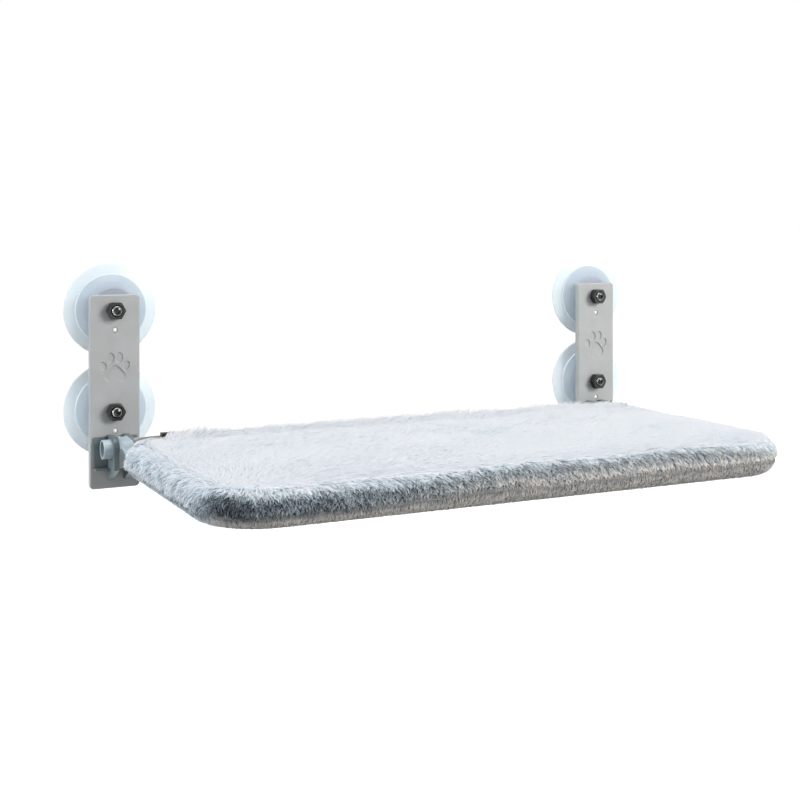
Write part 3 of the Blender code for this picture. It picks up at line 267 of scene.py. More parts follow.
# Fur: how many square millimetres each tuft covers, and tuft sizes
TUFT_AREA_TOP = 1.5
TUFT_AREA_EDGE = 1.0
TUFT_AREA_LOWER = 1.1
TUFT_AREA_UNDER = 5.0
TUFT_LENGTH_TOP = 9.0 * MM
TUFT_LENGTH_EDGE = 6.0 * MM
TUFT_LENGTH_LOWER = 5.5 * MM
TUFT_LENGTH_UNDER = 5.0 * MM
TUFT_WIDTH = 0.9 * MM
TUFT_WIDTH_SHARES = (0.7, 1.0, 0.75)
TUFT_SPIN = 0.35
TUFT_SPIN_TOP = 0.15
ZIP_LANE = 3.2 * MM
# Past here on either side the fur closes over the zip's ends
ZIP_COVERED_FROM = 218.0 * MM
# Where the zip is bare, from its left end to here
ZIP_BARE_END = -206.0 * MM
ZIP_BARE_FADE = 4.0 * MM
# Here the fur stands highest in front of the zip
CREST_X = -178.0 * MM
CREST_SPREAD = 16.0 * MM
# The rear edge's fur is fullest at the bed's middle
BULGE_FROM = 60.0 * MM
BULGE_TO = 220.0 * MM
# The fur's parting hangs under the sewn seam by these, at the bed's left and right end
PARTING_DROP_LEFT = 4.6 * MM
PARTING_DROP_RIGHT = -0.5 * MM
PARTING_WAVE = 1.0 * MM
PARTING_WAVE_LENGTH = 50.0 * MM
PARTING_RUFFLE = 0.5 * MM
PARTING_RUFFLE_LENGTH = 14.0 * MM
LOWER_UNDERLAP_SHARE = 0.14
CURL_UNDER_RADIANS = 0.8
# Where the rim's pale band, a painted light on the side's upper edge, is drawn higher or lower along the bed
WHITE_RAISED_SHARE = 0.14
WHITE_RAISED_FROM = -140.0 * MM
WHITE_RAISED_TO = 40.0 * MM
WHITE_LOWERED_SHARE = 0.42
WHITE_LOWERED_FROM = 160.0 * MM
WHITE_LOWERED_TO = 228.0 * MM
WHITE_FROM_SHARE = 0.48
WHITE_TO_SHARE = 0.92
TONE_LEVELS = 32
TONE_LEAST = 0.02
TONE_MOST = 0.98
SLOPE_STEP = 0.5 * MM
FUR_SEED = 4171

# Fur colours from the darkest to the lightest tuft, at the root and at the tip, and the warm tint
FUR_ROOT_RAMP = (
    (0.0, (0.010, 0.014, 0.020)), (0.5, (0.085, 0.120, 0.155)),
    (0.8, (0.42, 0.50, 0.56)), (0.92, (0.74, 0.79, 0.84)),
)
FUR_TIP_RAMP = (
    (0.0, (0.090, 0.105, 0.125)), (0.5, (0.42, 0.49, 0.54)),
    (0.8, (0.74, 0.81, 0.86)), (0.92, (0.855, 0.870, 0.890)),
)
FUR_WARM = (1.0, 0.85, 0.745)
FUR_OWN_SHADING = 0.35
TOP_OWN_SHADING = 0.12
FUR_LETS_THROUGH = 0.45
FUR_ROUGHNESS = 0.85
FUR_SPECULAR = 0.25
FUR_SHEEN = 0.15
FUR_SHEEN_ROUGHNESS = 0.5
FUR_TIP_SHARES = (0.05, 0.75)
TOP_OVERLAP = 2.0 * MM
OVERHANG_REACH = 45.0 * MM
UNDER_BORDER = 40.0 * MM
DIVE_REACH = 17.0 * MM
ZIP_HIDE_REACH = 34.0 * MM
LIFT_LENGTH = 90.0 * MM
COMB_LENGTH = 130.0 * MM
LEFT_TURN_REACH = 90.0 * MM
RUFFLE_LENGTH = 30.0 * MM
STREAK_LENGTH = 11.0 * MM
STREAK_PATCH_LENGTH = 45.0 * MM
CLOUD_LENGTH = 150.0 * MM
CLUMP_LENGTH = 9.0 * MM
TUFT_CLUMP_LENGTH = 6.0 * MM
CLUMP_TONE = 0.06
ARM_GAP = 2.0 * MM
ARM_GAP_ABOVE = 2.5 * MM
COMB_START = 0.12
LEFT_TURN_RADIANS = 1.1
COMB_TURN = 0.25

# Random spread of the tufts' lengths and widths
TOP_LENGTH_SHARES = (0.75, 1.2)
TOP_WIDTH_SHARES = (0.75, 1.35)
EDGE_LENGTH_SHARES = (0.7, 1.2)
EDGE_WIDTH_SHARES = (0.6, 1.15)
UNDER_LENGTH_SHARES = (0.8, 1.2)
UNDER_WIDTH_SHARES = (0.7, 1.3)
UNDER_TUFT_WIDTH = 1.5 * TUFT_WIDTH

# The top fur's direction: turns in radians, and how far it stands up at its root and its tip
RUFFLE_TURN = 0.15
TURN_SPREAD = 0.15
RISE_SPREAD = 0.04
OVER_FACING_SHARES = (0.5, 0.9)
REAR_FACING_SHARES = (0.6, 0.9)
DIVE_FACING_SHARES = (0.5, 0.2)
OVER_OUTWARD_SHARE = 0.35
DIVE_LEAN_SHARE = 0.4
LOW_SHARES = (0.2, 0.9)
ROOT_RISE = 0.50
ROOT_RISE_TALL = 0.5
ROOT_DROP_LOW = 0.22
ROOT_RISE_CREST = 0.6
TIP_RISE = 0.03
TIP_RISE_TALL = 0.6
TIP_DROP_DIVE = 0.30
TIP_RISE_CREST = 0.8
TALL_LONGER_SHARE = 0.15
CREST_LONGER_SHARE = 0.2
BULGE_LONGER_SHARE = 0.35
STREAK_SQUEEZE_X = 0.3
STREAK_SQUEEZE_Y = 1.3
STREAK_SHADE = 0.11
STREAK_SHARES = (1.5, 2.8)
CLOUD_TONE = 0.012
TOP_TONE_SPREAD = 0.012
TOP_WARMTH = 0.03

# The fur below the bed
UNDER_OVERLAP = 2.0 * MM
UNDER_COMB_LENGTH = 120.0 * MM
UNDER_COMB_TURN = 1.1
UNDER_TURN_SPREAD = 0.3
UNDER_PATCH_LENGTH = 40.0 * MM
UNDER_PATCH_TONE = 0.04
UNDER_TONE_SPREAD = 0.03
UNDER_WARMTH = 0.8

# Lightness and warmth of the side fur by region, from 0 to 1, and where along the edge they change
TOP_TONE = 0.93
# Painted light and shade: the pale left end and the dark front, lighter towards the right, stand in for how
# the lamps fall
EDGE_LEFT_TONE = 0.88
EDGE_FRONT_TONE = 0.24
EDGE_FRONT_TONE_RISE = 0.25
PALE_LOW_TONE = 0.33
EDGE_REST_TONE = 0.58
# The rim's pale tone is painted light on the side's upper edge
EDGE_TOP_TONE = 0.89
# Painted shade: in patches at the left end, in the crease at the parting and in the front left corner
LEFT_SHADE = 0.22
CREASE_SHADE = 0.27
CREASE_FADE_FROM = -120.0 * MM
CREASE_FADE_TO = 60.0 * MM
CORNER_SHADE = 0.22
SHAG_LENGTH = 16.0 * MM
SHAG_RISE = 20.0 * MM
PATCH_LENGTH = 22.0 * MM
LOWER_LEFT_TONE = 0.74
LOWER_FRONT_TONE = 0.77
LOWER_FRONT_TONE_RISE = -0.03
LOWER_REST_TONE = 0.5
UNDER_TONE = 0.6
EDGE_LEFT_SHAG = 0.1
LEFT_FACING_SHARES = (0.78, 1.0)
FRONT_RISE_SHARES = (-0.05, 0.65)
INNER_SHARES = (0.12, 0.45)
PALE_LOW_SHARES = (0.55, 0.15)
PALE_LOW_PATCHES = 0.10
SHAG_SHARES = (0.2, 1.2)
LOWER_RISE_SHARES = (0.15, 0.5)
UNDER_TONE_SHARES = (0.72, 1.0)
FRONT_PATCH_TONE = 0.07
PATCH_TONE = 0.04
INNER_WARMTH = 0.45
PALE_LOW_WARMTH = 0.20
REST_WARMTH = 0.2
LOWER_LEFT_WARMTH = 0.15
LOWER_FRONT_WARMTH = 0.85
LOWER_REST_WARMTH = 0.7
WARMTH_SPREAD = 0.06
WARMTH_MOST = 0.999

# The side fur's direction: spread, clumps and flow along the rim
SEAM_DRAW_SHARES = (0.14, 0.0)
PARTING_SHARES = (0.1, 0.6)
EDGE_RISE_SPREAD = 0.12
EDGE_RISE_CLUMPS = 0.10
UPPER_SIDE_CLUMPS = 0.55
UPPER_SIDE_SPREAD = 0.45
LOWER_SIDE_CLUMPS = 0.03
LOWER_SIDE_SPREAD = 0.16
FLOW_LEFT_SHARES = (0.4, 0.9)
ROOT_FLOW = 0.7
ROOT_STAND = 0.8
ROOT_STAND_DROP = 0.35
ROOT_FALL = 0.35
TIP_FLOW = 0.9
TIP_OUT = 0.5
TIP_OUT_DROP = 0.15
TIP_HANG = 0.25
TIP_HANG_DROOP = 0.7
TIP_SIDE = 1.3
LOWER_ROOT_STAND = 0.5
LOWER_ROOT_DROP = 0.2
LOWER_ROOT_FALL = 0.7
LOWER_TIP_STAND = 0.08
SHORT_AT_SEAM_SHARE = 0.6
SHORT_SHARES = (0.0, 0.3)
RIM_CLUMPS = 0.07
RIM_SPREAD = 0.05
CREASE_SHARES = (0.18, 0.0)
UPPER_TONE_SPREAD = 0.14
WHITE_TONE_SPREAD = 0.015
LOWER_TONE_SPREAD = 0.06

# Hard finishes: dark and light tone, scale of the clouds, roughness and metallic share
HARD_FINISHES = {
    "peg": ((0.86, 0.89, 0.90), (0.92, 0.94, 0.95), 400.0, 0.2, 0.0),
    "grey_paint": ((0.33, 0.342, 0.342), (0.37, 0.382, 0.382), 70.0, 0.42, 0.0),
    # The seats' paint is darker than the arms' as painted shade: it stands in for the shade behind the tube
    # and under the bed
    "seat_paint_painted_shade": ((0.10, 0.13, 0.14), (0.13, 0.165, 0.175), 90.0, 0.42, 0.0),
    "blue_grey_paint": ((0.34, 0.42, 0.46), (0.40, 0.48, 0.52), 90.0, 0.40, 0.0),
    "black_steel": ((0.018, 0.018, 0.018), (0.05, 0.05, 0.05), 400.0, 0.32, 0.7),
    "raw_steel": ((0.46, 0.46, 0.48), (0.60, 0.60, 0.62), 120.0, 0.34, 1.0),
    "dark_metal": ((0.02, 0.018, 0.016), (0.06, 0.05, 0.045), 500.0, 0.34, 0.8),
    "zip_teeth": ((0.26, 0.23, 0.215), (0.36, 0.33, 0.31), 600.0, 0.45, 0.0),
}
CLOUD_RAMP_SHARES = (0.3, 0.7)
GLOSS_SPREAD = (-0.06, 0.08)
GRAIN_SCALE = 900.0
GRAIN_DEPTH = 0.03 * MM

# Woven finishes: dark and light tone, scale of the threads and roughness
WOVEN_FINISHES = {
    "zip_fabric": ((0.17, 0.15, 0.14), (0.30, 0.27, 0.25), 1500.0, 0.85),
    "sling": ((0.10, 0.105, 0.11), (0.26, 0.27, 0.28), 700.0, 0.9),
}
WEAVE_RAMP_SHARES = (0.2, 0.9)
WEAVE_DEPTH = 0.15 * MM

# Foam and the plush's knitted ground: dark and light tone
GROUND_FINISHES = {
    "foam": ((0.70, 0.70, 0.66), (0.82, 0.82, 0.78)),
    "plush_ground_top": ((0.54, 0.60, 0.65), (0.64, 0.70, 0.74)),
    "plush_ground_lower": ((0.20, 0.20, 0.20), (0.30, 0.29, 0.28)),
}
GROUND_ROUGHNESS = 0.95
GROUND_CLOUD_SCALE = 90.0
LOOP_SCALE = 900.0
LOOP_DEPTH = 0.3 * MM

# Nodes carried over from the frame: finish and width of their rounded edges
SEAT_EDGE = 0.45 * MM
SLIDER_EDGE = 0.35 * MM
PULL_EDGE = 0.2 * MM
DRESSED_NODES = (
    ("hinge_seat_left", "seat_paint_painted_shade", SEAT_EDGE),
    ("hinge_seat_right", "seat_paint_painted_shade", SEAT_EDGE),
    ("support_arm_left", "blue_grey_paint", SEAT_EDGE),
    ("support_arm_right", "blue_grey_paint", SEAT_EDGE),
    ("zip_slider", "dark_metal", SLIDER_EDGE),
    ("zip_pull", "dark_metal", PULL_EDGE),
)

# Studio: floor, world and lamps. Each lamp: name, place, aim, size, power, colour
FLOOR_Z = -0.55
FLOOR_REACH = 12.0
FLOOR_GLOW = 0.72
FLOOR_SEEN = (0.86, 0.87, 0.88)
FLOOR_UNSEEN = (0.34, 0.34, 0.34)
WHITE = (1.0, 1.0, 1.0)
WORLD_COLOUR = (0.97, 0.985, 1.0)
WORLD_STRENGTH = 0.38
LAMPS = (
    ("key_above", (-0.1, 0.0, 1.4), (0.0, -0.15, -0.06), 1.2, 12.0, (1.0, 1.0, 1.0)),
    ("left_side", (-2.6, 0.0, 0.5), (0.0, -0.15, -0.06), 1.2, 50.0, (0.94, 0.97, 1.0)),
    ("front_right", (1.8, -2.35, 1.1), (0.0, -0.1, -0.05), 1.6, 98.0, (1.0, 0.985, 0.96)),
)


def out_y(out):
    """World Y of a point that stands this far out from the plates' front."""
    return PLATE_FRONT_Y - out


def lay(axis, along, first, second):
    """A point with its place along one axis, and its places on the other two in X, Y, Z order."""
    if axis == "X":
        return (along, first, second)
    if axis == "Y":
        return (first, along, second)
    return (first, second, along)


def circle(radius, steps, centre=(0, 0)):
    points = []
    for i in range(steps):
        angle = 2 * math.pi * i / steps
        points.append((centre[0] + radius * math.cos(angle), centre[1] + radius * math.sin(angle)))
    return points


def arc(centre, radius, start_degrees, stop_degrees, steps):
    points = []
    for i in range(steps + 1):
        angle = math.radians(start_degrees + (stop_degrees - start_degrees) * i / steps)
        points.append((centre[0] + radius * math.cos(angle), centre[1] + radius * math.sin(angle)))
    return points


def filleted(points, radii, steps=5):
    """A line of points with its inner corners rounded, each by its own radius."""
    result = [points[0]]
    for i in range(1, len(points) - 1):
        corner = Vector(points[i])
        back = Vector(points[i - 1]) - corner
        ahead = Vector(points[i + 1]) - corner
        radius = radii[i] if isinstance(radii, (list, tuple)) else radii
        angle = back.angle(ahead)
        reach = min(radius / math.tan(angle / 2), 0.45 * back.length, 0.45 * ahead.length)
        start = corner + back.normalized() * reach
        stop = corner + ahead.normalized() * reach
        if reach <= 0:
            result.append(points[i])
            continue
        for step in range(steps + 1):
            share = step / steps
            point = start.lerp(corner, share).lerp(corner.lerp(stop, share), share)
            result.append((point.x, point.y))
    result.append(points[-1])
    return result


def rounded_outline(half_width, low, high, low_radius, high_radius, corner_steps):
    """Outline of a rounded rectangle, wide on the first axis and from low to high on the second."""
    points = []
    for x, y, radius, start in (
        (half_width - high_radius, high - high_radius, high_radius, 0.0),
        (high_radius - half_width, high - high_radius, high_radius, 90.0),
        (low_radius - half_width, low + low_radius, low_radius, 180.0),
        (half_width - low_radius, low + low_radius, low_radius, 270.0),
    ):
        points += arc((x, y), radius, start, start + 90.0, corner_steps)
    return points


def turned_rings(profile, axis, steps, centre=(0, 0)):
    """Rings of a turned shape. The profile lists radius and place along the axis."""
    rings = []
    for radius, along in profile:
        rings.append([lay(axis, along, first, second) for first, second in circle(radius, steps, centre)])
    return rings


def prism_rings(outline, axis, start, stop):
    return [[lay(axis, along, first, second) for first, second in outline] for along in (start, stop)]


def box_rings(low, high):
    (x0, y0, z0), (x1, y1, z1) = low, high
    return prism_rings(((x0, y0), (x1, y0), (x1, y1), (x0, y1)), "Z", z0, z1)


def add_rings(shape, rings, closed=False):
    """Skin a list of rings of points, with flat ends unless the last ring meets the first."""
    loops = [[shape.verts.new(point) for point in ring] for ring in rings]
    pairs = list(zip(loops, loops[1:]))
    if closed:
        pairs.append((loops[-1], loops[0]))
    for low, high in pairs:
        count = len(low)
        for i in range(count):
            j = (i + 1) % count
            shape.faces.new((low[i], low[j], high[j], high[i]))
    if not closed:
        shape.faces.new(loops[0])
        shape.faces.new(loops[-1])


def rings_mesh(name, groups, closed=False):
    """One mesh of closed shapes, each given by its rings."""
    shape = bmesh.new()
    for rings in groups:
        add_rings(shape, rings, closed)
    bmesh.ops.recalc_face_normals(shape, faces=shape.faces)
    mesh = bpy.data.meshes.new(name)
    shape.to_mesh(mesh)
    shape.free()
    return mesh


def link(item):
    bpy.context.scene.collection.objects.link(item)
    return item


def add_piece(name, mesh, material, body, location=(0, 0, 0), smooth_degrees=None):
    """Link a mesh as a piece that rides on a body."""
    item = link(bpy.data.objects.new(name, mesh))
    item.location = location
    if material and not mesh.materials:
        mesh.materials.append(material)
    if smooth_degrees:
        shade_rounded(mesh, smooth_degrees)
    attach(item, body)
    return item


def shade_rounded(mesh, degrees):
    """Smooth shading with the edges above an angle left sharp."""
    mesh.shade_smooth()
    mesh.set_sharp_from_angle(angle=math.radians(degrees))


def cut(item, tool_groups):
    """Cut closed shapes, given in the piece's own coordinates, out of the piece."""
    tools = []
    for number, rings in enumerate(tool_groups):
        tool = link(bpy.data.objects.new(f"{item.name}_tool_{number}", rings_mesh("tool", [rings])))
        tool.matrix_world = item.matrix_world
        modifier = item.modifiers.new(tool.name, "BOOLEAN")
        modifier.operation = "DIFFERENCE"
        modifier.solver = "EXACT"
        modifier.object = tool
        tools.append(tool)
    settle(item)
    for tool in tools:
        bpy.data.objects.remove(tool, do_unlink=True)


def settle(item):
    """Write the piece's modifiers into its mesh."""
    bpy.context.view_layer.update()
    graph = bpy.context.evaluated_depsgraph_get()
    evaluated = item.evaluated_get(graph)
    mesh = bpy.data.meshes.new_from_object(evaluated, preserve_all_data_layers=True, depsgraph=graph)
    old = item.data
    item.modifiers.clear()
    item.data = mesh
    mesh.name = item.name
    bpy.data.meshes.remove(old)


def even_shading(item):
    """Smooth shading whose large flat faces stay flat."""
    shade_rounded(item.data, SMOOTH_DEGREES)
    modifier = item.modifiers.new("even_shading", "WEIGHTED_NORMAL")
    modifier.keep_sharp = True
    modifier.weight = EVEN_SHADING_WEIGHT
    settle(item)


def soften_edges(item, width):
    """Round a carried-over node's edges without touching its mesh."""
    modifier = item.modifiers.new("soft_edges", "BEVEL")
    modifier.width = width
    modifier.segments = SOFT_EDGE_SEGMENTS
    modifier.limit_method = "ANGLE"
    modifier.angle_limit = math.radians(SOFT_EDGE_DEGREES)
    modifier.harden_normals = True
    modifier.miter_outer = "MITER_ARC"


# Materials

def new_material(name, roughness, metallic=0.0):
    material = bpy.data.materials.new(name)
    material.use_nodes = True
    shader = material.node_tree.nodes["Principled BSDF"]
    shader.inputs["Roughness"].default_value = roughness
    shader.inputs["Metallic"].default_value = metallic
    return material, material.node_tree, shader


def add_node(tree, kind, **inputs):
    node = tree.nodes.new(kind)
    for name, value in inputs.items():
        node.inputs[name.replace("_", " ")].default_value = value
    return node


def add_ramp(tree, factor, stops):
    """A colour ramp from places and colours."""
    ramp = tree.nodes.new("ShaderNodeValToRGB")
    elements = ramp.color_ramp.elements
    while len(elements) < len(stops):
        elements.new(0.5)
    for element, (place, colour) in zip(elements, stops):
        element.position = place
        element.color = (*colour, 1.0)
    tree.links.new(factor, ramp.inputs["Fac"])
    return ramp.outputs["Color"]


def mix_colours(tree, factor, first, second, kind="MIX"):
    """Mix two colours, each a socket or a plain colour, by a factor."""
    node = tree.nodes.new("ShaderNodeMix")
    node.data_type = "RGBA"
    node.blend_type = kind
    sockets = {socket.name: socket for socket in node.inputs if socket.enabled}
    tree.links.new(factor, sockets["Factor"])
    for name, colour in (("A", first), ("B", second)):
        if isinstance(colour, tuple):
            sockets[name].default_value = (*colour, 1.0)
        else:
            tree.links.new(colour, sockets[name])
    return [socket for socket in node.outputs if socket.enabled][0]


def object_noise(tree, scale, detail=3.0, kind="ShaderNodeTexNoise"):
    place = tree.nodes.new("ShaderNodeTexCoord")
    noise = add_node(tree, kind, Scale=scale, Detail=detail)
    tree.links.new(place.outputs["Object"], noise.inputs["Vector"])
    return noise


def add_clouds(tree, shader, scale, low, high):
    """Two tones in soft clouds for the base colour, and the clouds' strength as the result."""
    clouds = object_noise(tree, scale, 4.0).outputs["Fac"]
    from_share, to_share = CLOUD_RAMP_SHARES
    colour = add_ramp(tree, clouds, ((from_share, low), (to_share, high)))
    tree.links.new(colour, shader.inputs["Base Color"])
    return clouds


def add_bump(tree, shader, height, depth):
    bump = add_node(tree, "ShaderNodeBump", Strength=1.0, Distance=depth)
    tree.links.new(height, bump.inputs["Height"])
    tree.links.new(bump.outputs["Normal"], shader.inputs["Normal"])


def add_roughness(tree, shader, factor, low, high):
    spread = add_node(tree, "ShaderNodeMapRange", To_Min=low, To_Max=high)
    tree.links.new(factor, spread.inputs["Value"])
    tree.links.new(spread.outputs["Result"], shader.inputs["Roughness"])


def mottled_material(name, low, high, scale, roughness, metallic):
    """A hard material: two close tones in soft clouds, a fine grain and slightly uneven gloss."""
    material, tree, shader = new_material(name, roughness, metallic)
    clouds = add_clouds(tree, shader, scale, low, high)
    fine = object_noise(tree, GRAIN_SCALE, 2.0)
    add_bump(tree, shader, fine.outputs["Fac"], GRAIN_DEPTH)
    add_roughness(tree, shader, clouds, roughness + GLOSS_SPREAD[0], roughness + GLOSS_SPREAD[1])
    return material


def vinyl_material():
    """The cups' translucent plastic, tinted by the distance from the cup's axis, with painted shade towards
    the middle and a painted highlight at the step.
    """
    material, tree, shader = new_material("clear_vinyl_finish", CUP_ROUGHNESS[0])
    clouds = object_noise(tree, CUP_CLOUD_SCALE)
    tint_and_painted_light = add_ramp(tree, from_axis(tree, 0.0, CUP_RADIUS), CUP_TINT_AND_PAINTED_LIGHT_RAMP)
    colour = mix_colours(tree, clouds.outputs["Fac"], tint_and_painted_light, CUP_CLOUD_TINT, "MULTIPLY")
    tree.links.new(colour, shader.inputs["Base Color"])
    shader.inputs["Transmission Weight"].default_value = CUP_TRANSMISSION
    shader.inputs["IOR"].default_value = CUP_IOR
    shader.inputs["Specular IOR Level"].default_value = CUP_SPECULAR
    fine = object_noise(tree, CUP_GRAIN_SCALE, 2.0)
    add_bump(tree, shader, fine.outputs["Fac"], CUP_GRAIN_DEPTH)
    add_roughness(tree, shader, clouds.outputs["Fac"], *CUP_ROUGHNESS)
    return material


def from_axis(tree, least, most):
    """0 at one distance from the object's Y axis and 1 at another."""
    place = tree.nodes.new("ShaderNodeTexCoord")
    level = add_node(tree, "ShaderNodeMapping", Scale=(1.0, 0.0, 1.0))
    tree.links.new(place.outputs["Object"], level.inputs["Vector"])
    reach = tree.nodes.new("ShaderNodeVectorMath")
    reach.operation = "LENGTH"
    tree.links.new(level.outputs["Vector"], reach.inputs[0])
    share = add_node(tree, "ShaderNodeMapRange")
    share.inputs["From Min"].default_value = least
    share.inputs["From Max"].default_value = most
    tree.links.new(reach.outputs["Value"], share.inputs["Value"])
    return share.outputs["Result"]


def stud_material():
    """A steel end with its middle painted near black as a painted dark reflection, and a bright worn ring
    round it.
    """
    material, tree, shader = new_material("stud_finish", 0.2, 1.0)
    specks = object_noise(tree, STUD_SPECK_SCALE)
    ring = add_ramp(tree, from_axis(tree, 0.0, STUD_RADIUS), STUD_RING_AND_DARK_REFLECTION_RAMP)
    worn = add_ramp(tree, specks.outputs["Fac"], STUD_WORN_RAMP)
    tree.links.new(mix_colours(tree, worn, STUD_DARK, ring), shader.inputs["Base Color"])
    add_roughness(tree, shader, specks.outputs["Fac"], *STUD_ROUGHNESS)
    return material


def woven_material(name, low, high, threads, roughness):
    """A plain weave from two crossing waves."""
    material, tree, shader = new_material(name, roughness)
    place = tree.nodes.new("ShaderNodeTexCoord")
    bands = []
    for direction in ("X", "Y"):
        wave = add_node(tree, "ShaderNodeTexWave", Scale=threads)
        wave.wave_type = "BANDS"
        wave.bands_direction = direction
        tree.links.new(place.outputs["Object"], wave.inputs["Vector"])
        bands.append(wave.outputs["Fac"])
    cross = tree.nodes.new("ShaderNodeMath")
    cross.operation = "MAXIMUM"
    tree.links.new(bands[0], cross.inputs[0])
    tree.links.new(bands[1], cross.inputs[1])
    from_share, to_share = WEAVE_RAMP_SHARES
    colour = add_ramp(tree, cross.outputs["Value"], ((from_share, low), (to_share, high)))
    tree.links.new(colour, shader.inputs["Base Color"])
    add_bump(tree, shader, cross.outputs["Value"], WEAVE_DEPTH)
    return material


def ground_material(name, low, high):
    """The foam, and the plush's knitted ground that its fur mostly hides."""
    material, tree, shader = new_material(name, GROUND_ROUGHNESS)
    add_clouds(tree, shader, GROUND_CLOUD_SCALE, low, high)
    loops = object_noise(tree, LOOP_SCALE, 2.0, "ShaderNodeTexVoronoi")
    add_bump(tree, shader, loops.outputs["Distance"], LOOP_DEPTH)
    return material


def fur_material(name):
    """Fur with roots darker than its tips. Each tuft carries its lightness, warmth and place along it."""
    material, tree, shader = new_material(name, FUR_ROUGHNESS)
    shader.inputs["Specular IOR Level"].default_value = FUR_SPECULAR
    shader.inputs["Sheen Weight"].default_value = FUR_SHEEN
    shader.inputs["Sheen Roughness"].default_value = FUR_SHEEN_ROUGHNESS
    values = {}
    for key in ("tuft_tone", "tuft_warmth", "tuft_share"):
        node = tree.nodes.new("ShaderNodeAttribute")
        node.attribute_name = key
        values[key] = node.outputs["Fac"]
    root = add_ramp(tree, values["tuft_tone"], FUR_ROOT_RAMP)
    tip = add_ramp(tree, values["tuft_tone"], FUR_TIP_RAMP)
    along = add_node(tree, "ShaderNodeMapRange")
    along.interpolation_type = "SMOOTHSTEP"
    along.inputs["From Min"].default_value = FUR_TIP_SHARES[0]
    along.inputs["From Max"].default_value = FUR_TIP_SHARES[1]
    tree.links.new(values["tuft_share"], along.inputs["Value"])
    strand = mix_colours(tree, along.outputs["Result"], root, tip)
    warm = mix_colours(tree, values["tuft_warmth"], strand, FUR_WARM, "MULTIPLY")
    tree.links.new(warm, shader.inputs["Base Color"])
    through = tree.nodes.new("ShaderNodeBsdfTranslucent")
    tree.links.new(warm, through.inputs["Color"])
    both = add_node(tree, "ShaderNodeMixShader", Fac=FUR_LETS_THROUGH)
    tree.links.new(shader.outputs["BSDF"], both.inputs[1])
    tree.links.new(through.outputs["BSDF"], both.inputs[2])
    tree.links.new(both.outputs["Shader"], tree.nodes["Material Output"].inputs["Surface"])
    return material


def all_finishes():
    """Every material by its key, except the fur's."""
    finish = {"vinyl": vinyl_material(), "stud_steel": stud_material()}
    kinds = (
        (mottled_material, HARD_FINISHES),
        (woven_material, WOVEN_FINISHES),
        (ground_material, GROUND_FINISHES),
    )
    for build, rows in kinds:
        for key, row in rows.items():
            finish[key] = build(f"{key}_finish", *row)
    return finish


# Brackets

def cup_profile():
    """The cup's turned form: radius, and place along the axis out from the glass."""
    chamber_radius = CUP_RADIUS - CUP_RIM_WIDTH
    middle_radius = (CUP_CHAMBER_FLAT_RADIUS + chamber_radius) / 2
    hard = CUP_FILLET
    soft = CUP_SOFT_FILLET
    lip_slope = CUP_LIP_THICKNESS + CUP_LIP_CHAMFER
    points = (
        (STUD_RADIUS + GAP, -CUP_HEIGHT),
        (CUP_BOSS_RADIUS, -CUP_HEIGHT),
        (CUP_BOSS_RADIUS, -CUP_HUB_HIGH),
        (CUP_HUB_RADIUS, -CUP_HUB_HIGH),
        (CUP_HUB_RADIUS, -CUP_HUB_LOW),
        (CUP_SHOULDER_RADIUS, -CUP_SHOULDER_HEIGHT),
        (CUP_STEP_RADIUS, -CUP_STEP_HIGH),
        (CUP_STEP_RADIUS, -CUP_STEP_LOW),
        (CUP_RADIUS - CUP_LIP_CHAMFER, -lip_slope),
        (CUP_RADIUS, -CUP_LIP_THICKNESS),
        (CUP_RADIUS, 0),
        (chamber_radius, 0),
        (middle_radius, -CUP_CHAMBER_DEPTH * 2 / 3),
        (CUP_CHAMBER_FLAT_RADIUS, -CUP_CHAMBER_DEPTH),
        (STUD_RADIUS, -CUP_CHAMBER_DEPTH),
    )
    radii = (0, hard, hard, hard, hard, soft, hard, hard, hard, hard, hard / 2, hard, soft, soft, 0)
    return filleted(points, radii)


def peg_profile():
    """The peg's turned form, from inside the hub to its rounded tip."""
    tip = -CUP_HEIGHT - CUP_PEG_LENGTH
    points = [(CUP_PEG_RADIUS, -CUP_HUB_LOW)]
    for i in range(6):
        angle = math.pi / 2 * i / 6
        points.append((CUP_PEG_RADIUS * math.cos(angle), tip + CUP_PEG_DOME * (1 - math.sin(angle))))
    return points


def stud_profile():
    """Flange in the cup, thread and domed end with a small socket."""
    tip = PLATE_FRONT_Y - STUD_REACH
    flange_front = -STUD_FLANGE_HEIGHT - STUD_FLANGE_THICKNESS
    points = [(STUD_FLANGE_RADIUS, -STUD_FLANGE_HEIGHT), (STUD_FLANGE_RADIUS, flange_front)]
    thread_start = -CUP_HEIGHT
    points.append((STUD_RADIUS, flange_front))
    turns = int((thread_start - tip - STUD_DOME - THREAD_PITCH) / THREAD_PITCH)
    for i in range(turns):
        y = thread_start - i * THREAD_PITCH
        points.append((STUD_RADIUS, y))
        points.append((STUD_RADIUS - THREAD_DEPTH, y - THREAD_PITCH / 2))
    for i in range(9):
        angle = math.pi / 2 * i / 9 * 0.72
        points.append((STUD_RADIUS * math.cos(angle), tip + STUD_DOME * (1 - math.sin(angle))))
    points.append((STUD_SOCKET_RADIUS, tip))
    points.append((STUD_SOCKET_RADIUS * 0.8, tip + STUD_SOCKET_DEPTH))
    return points


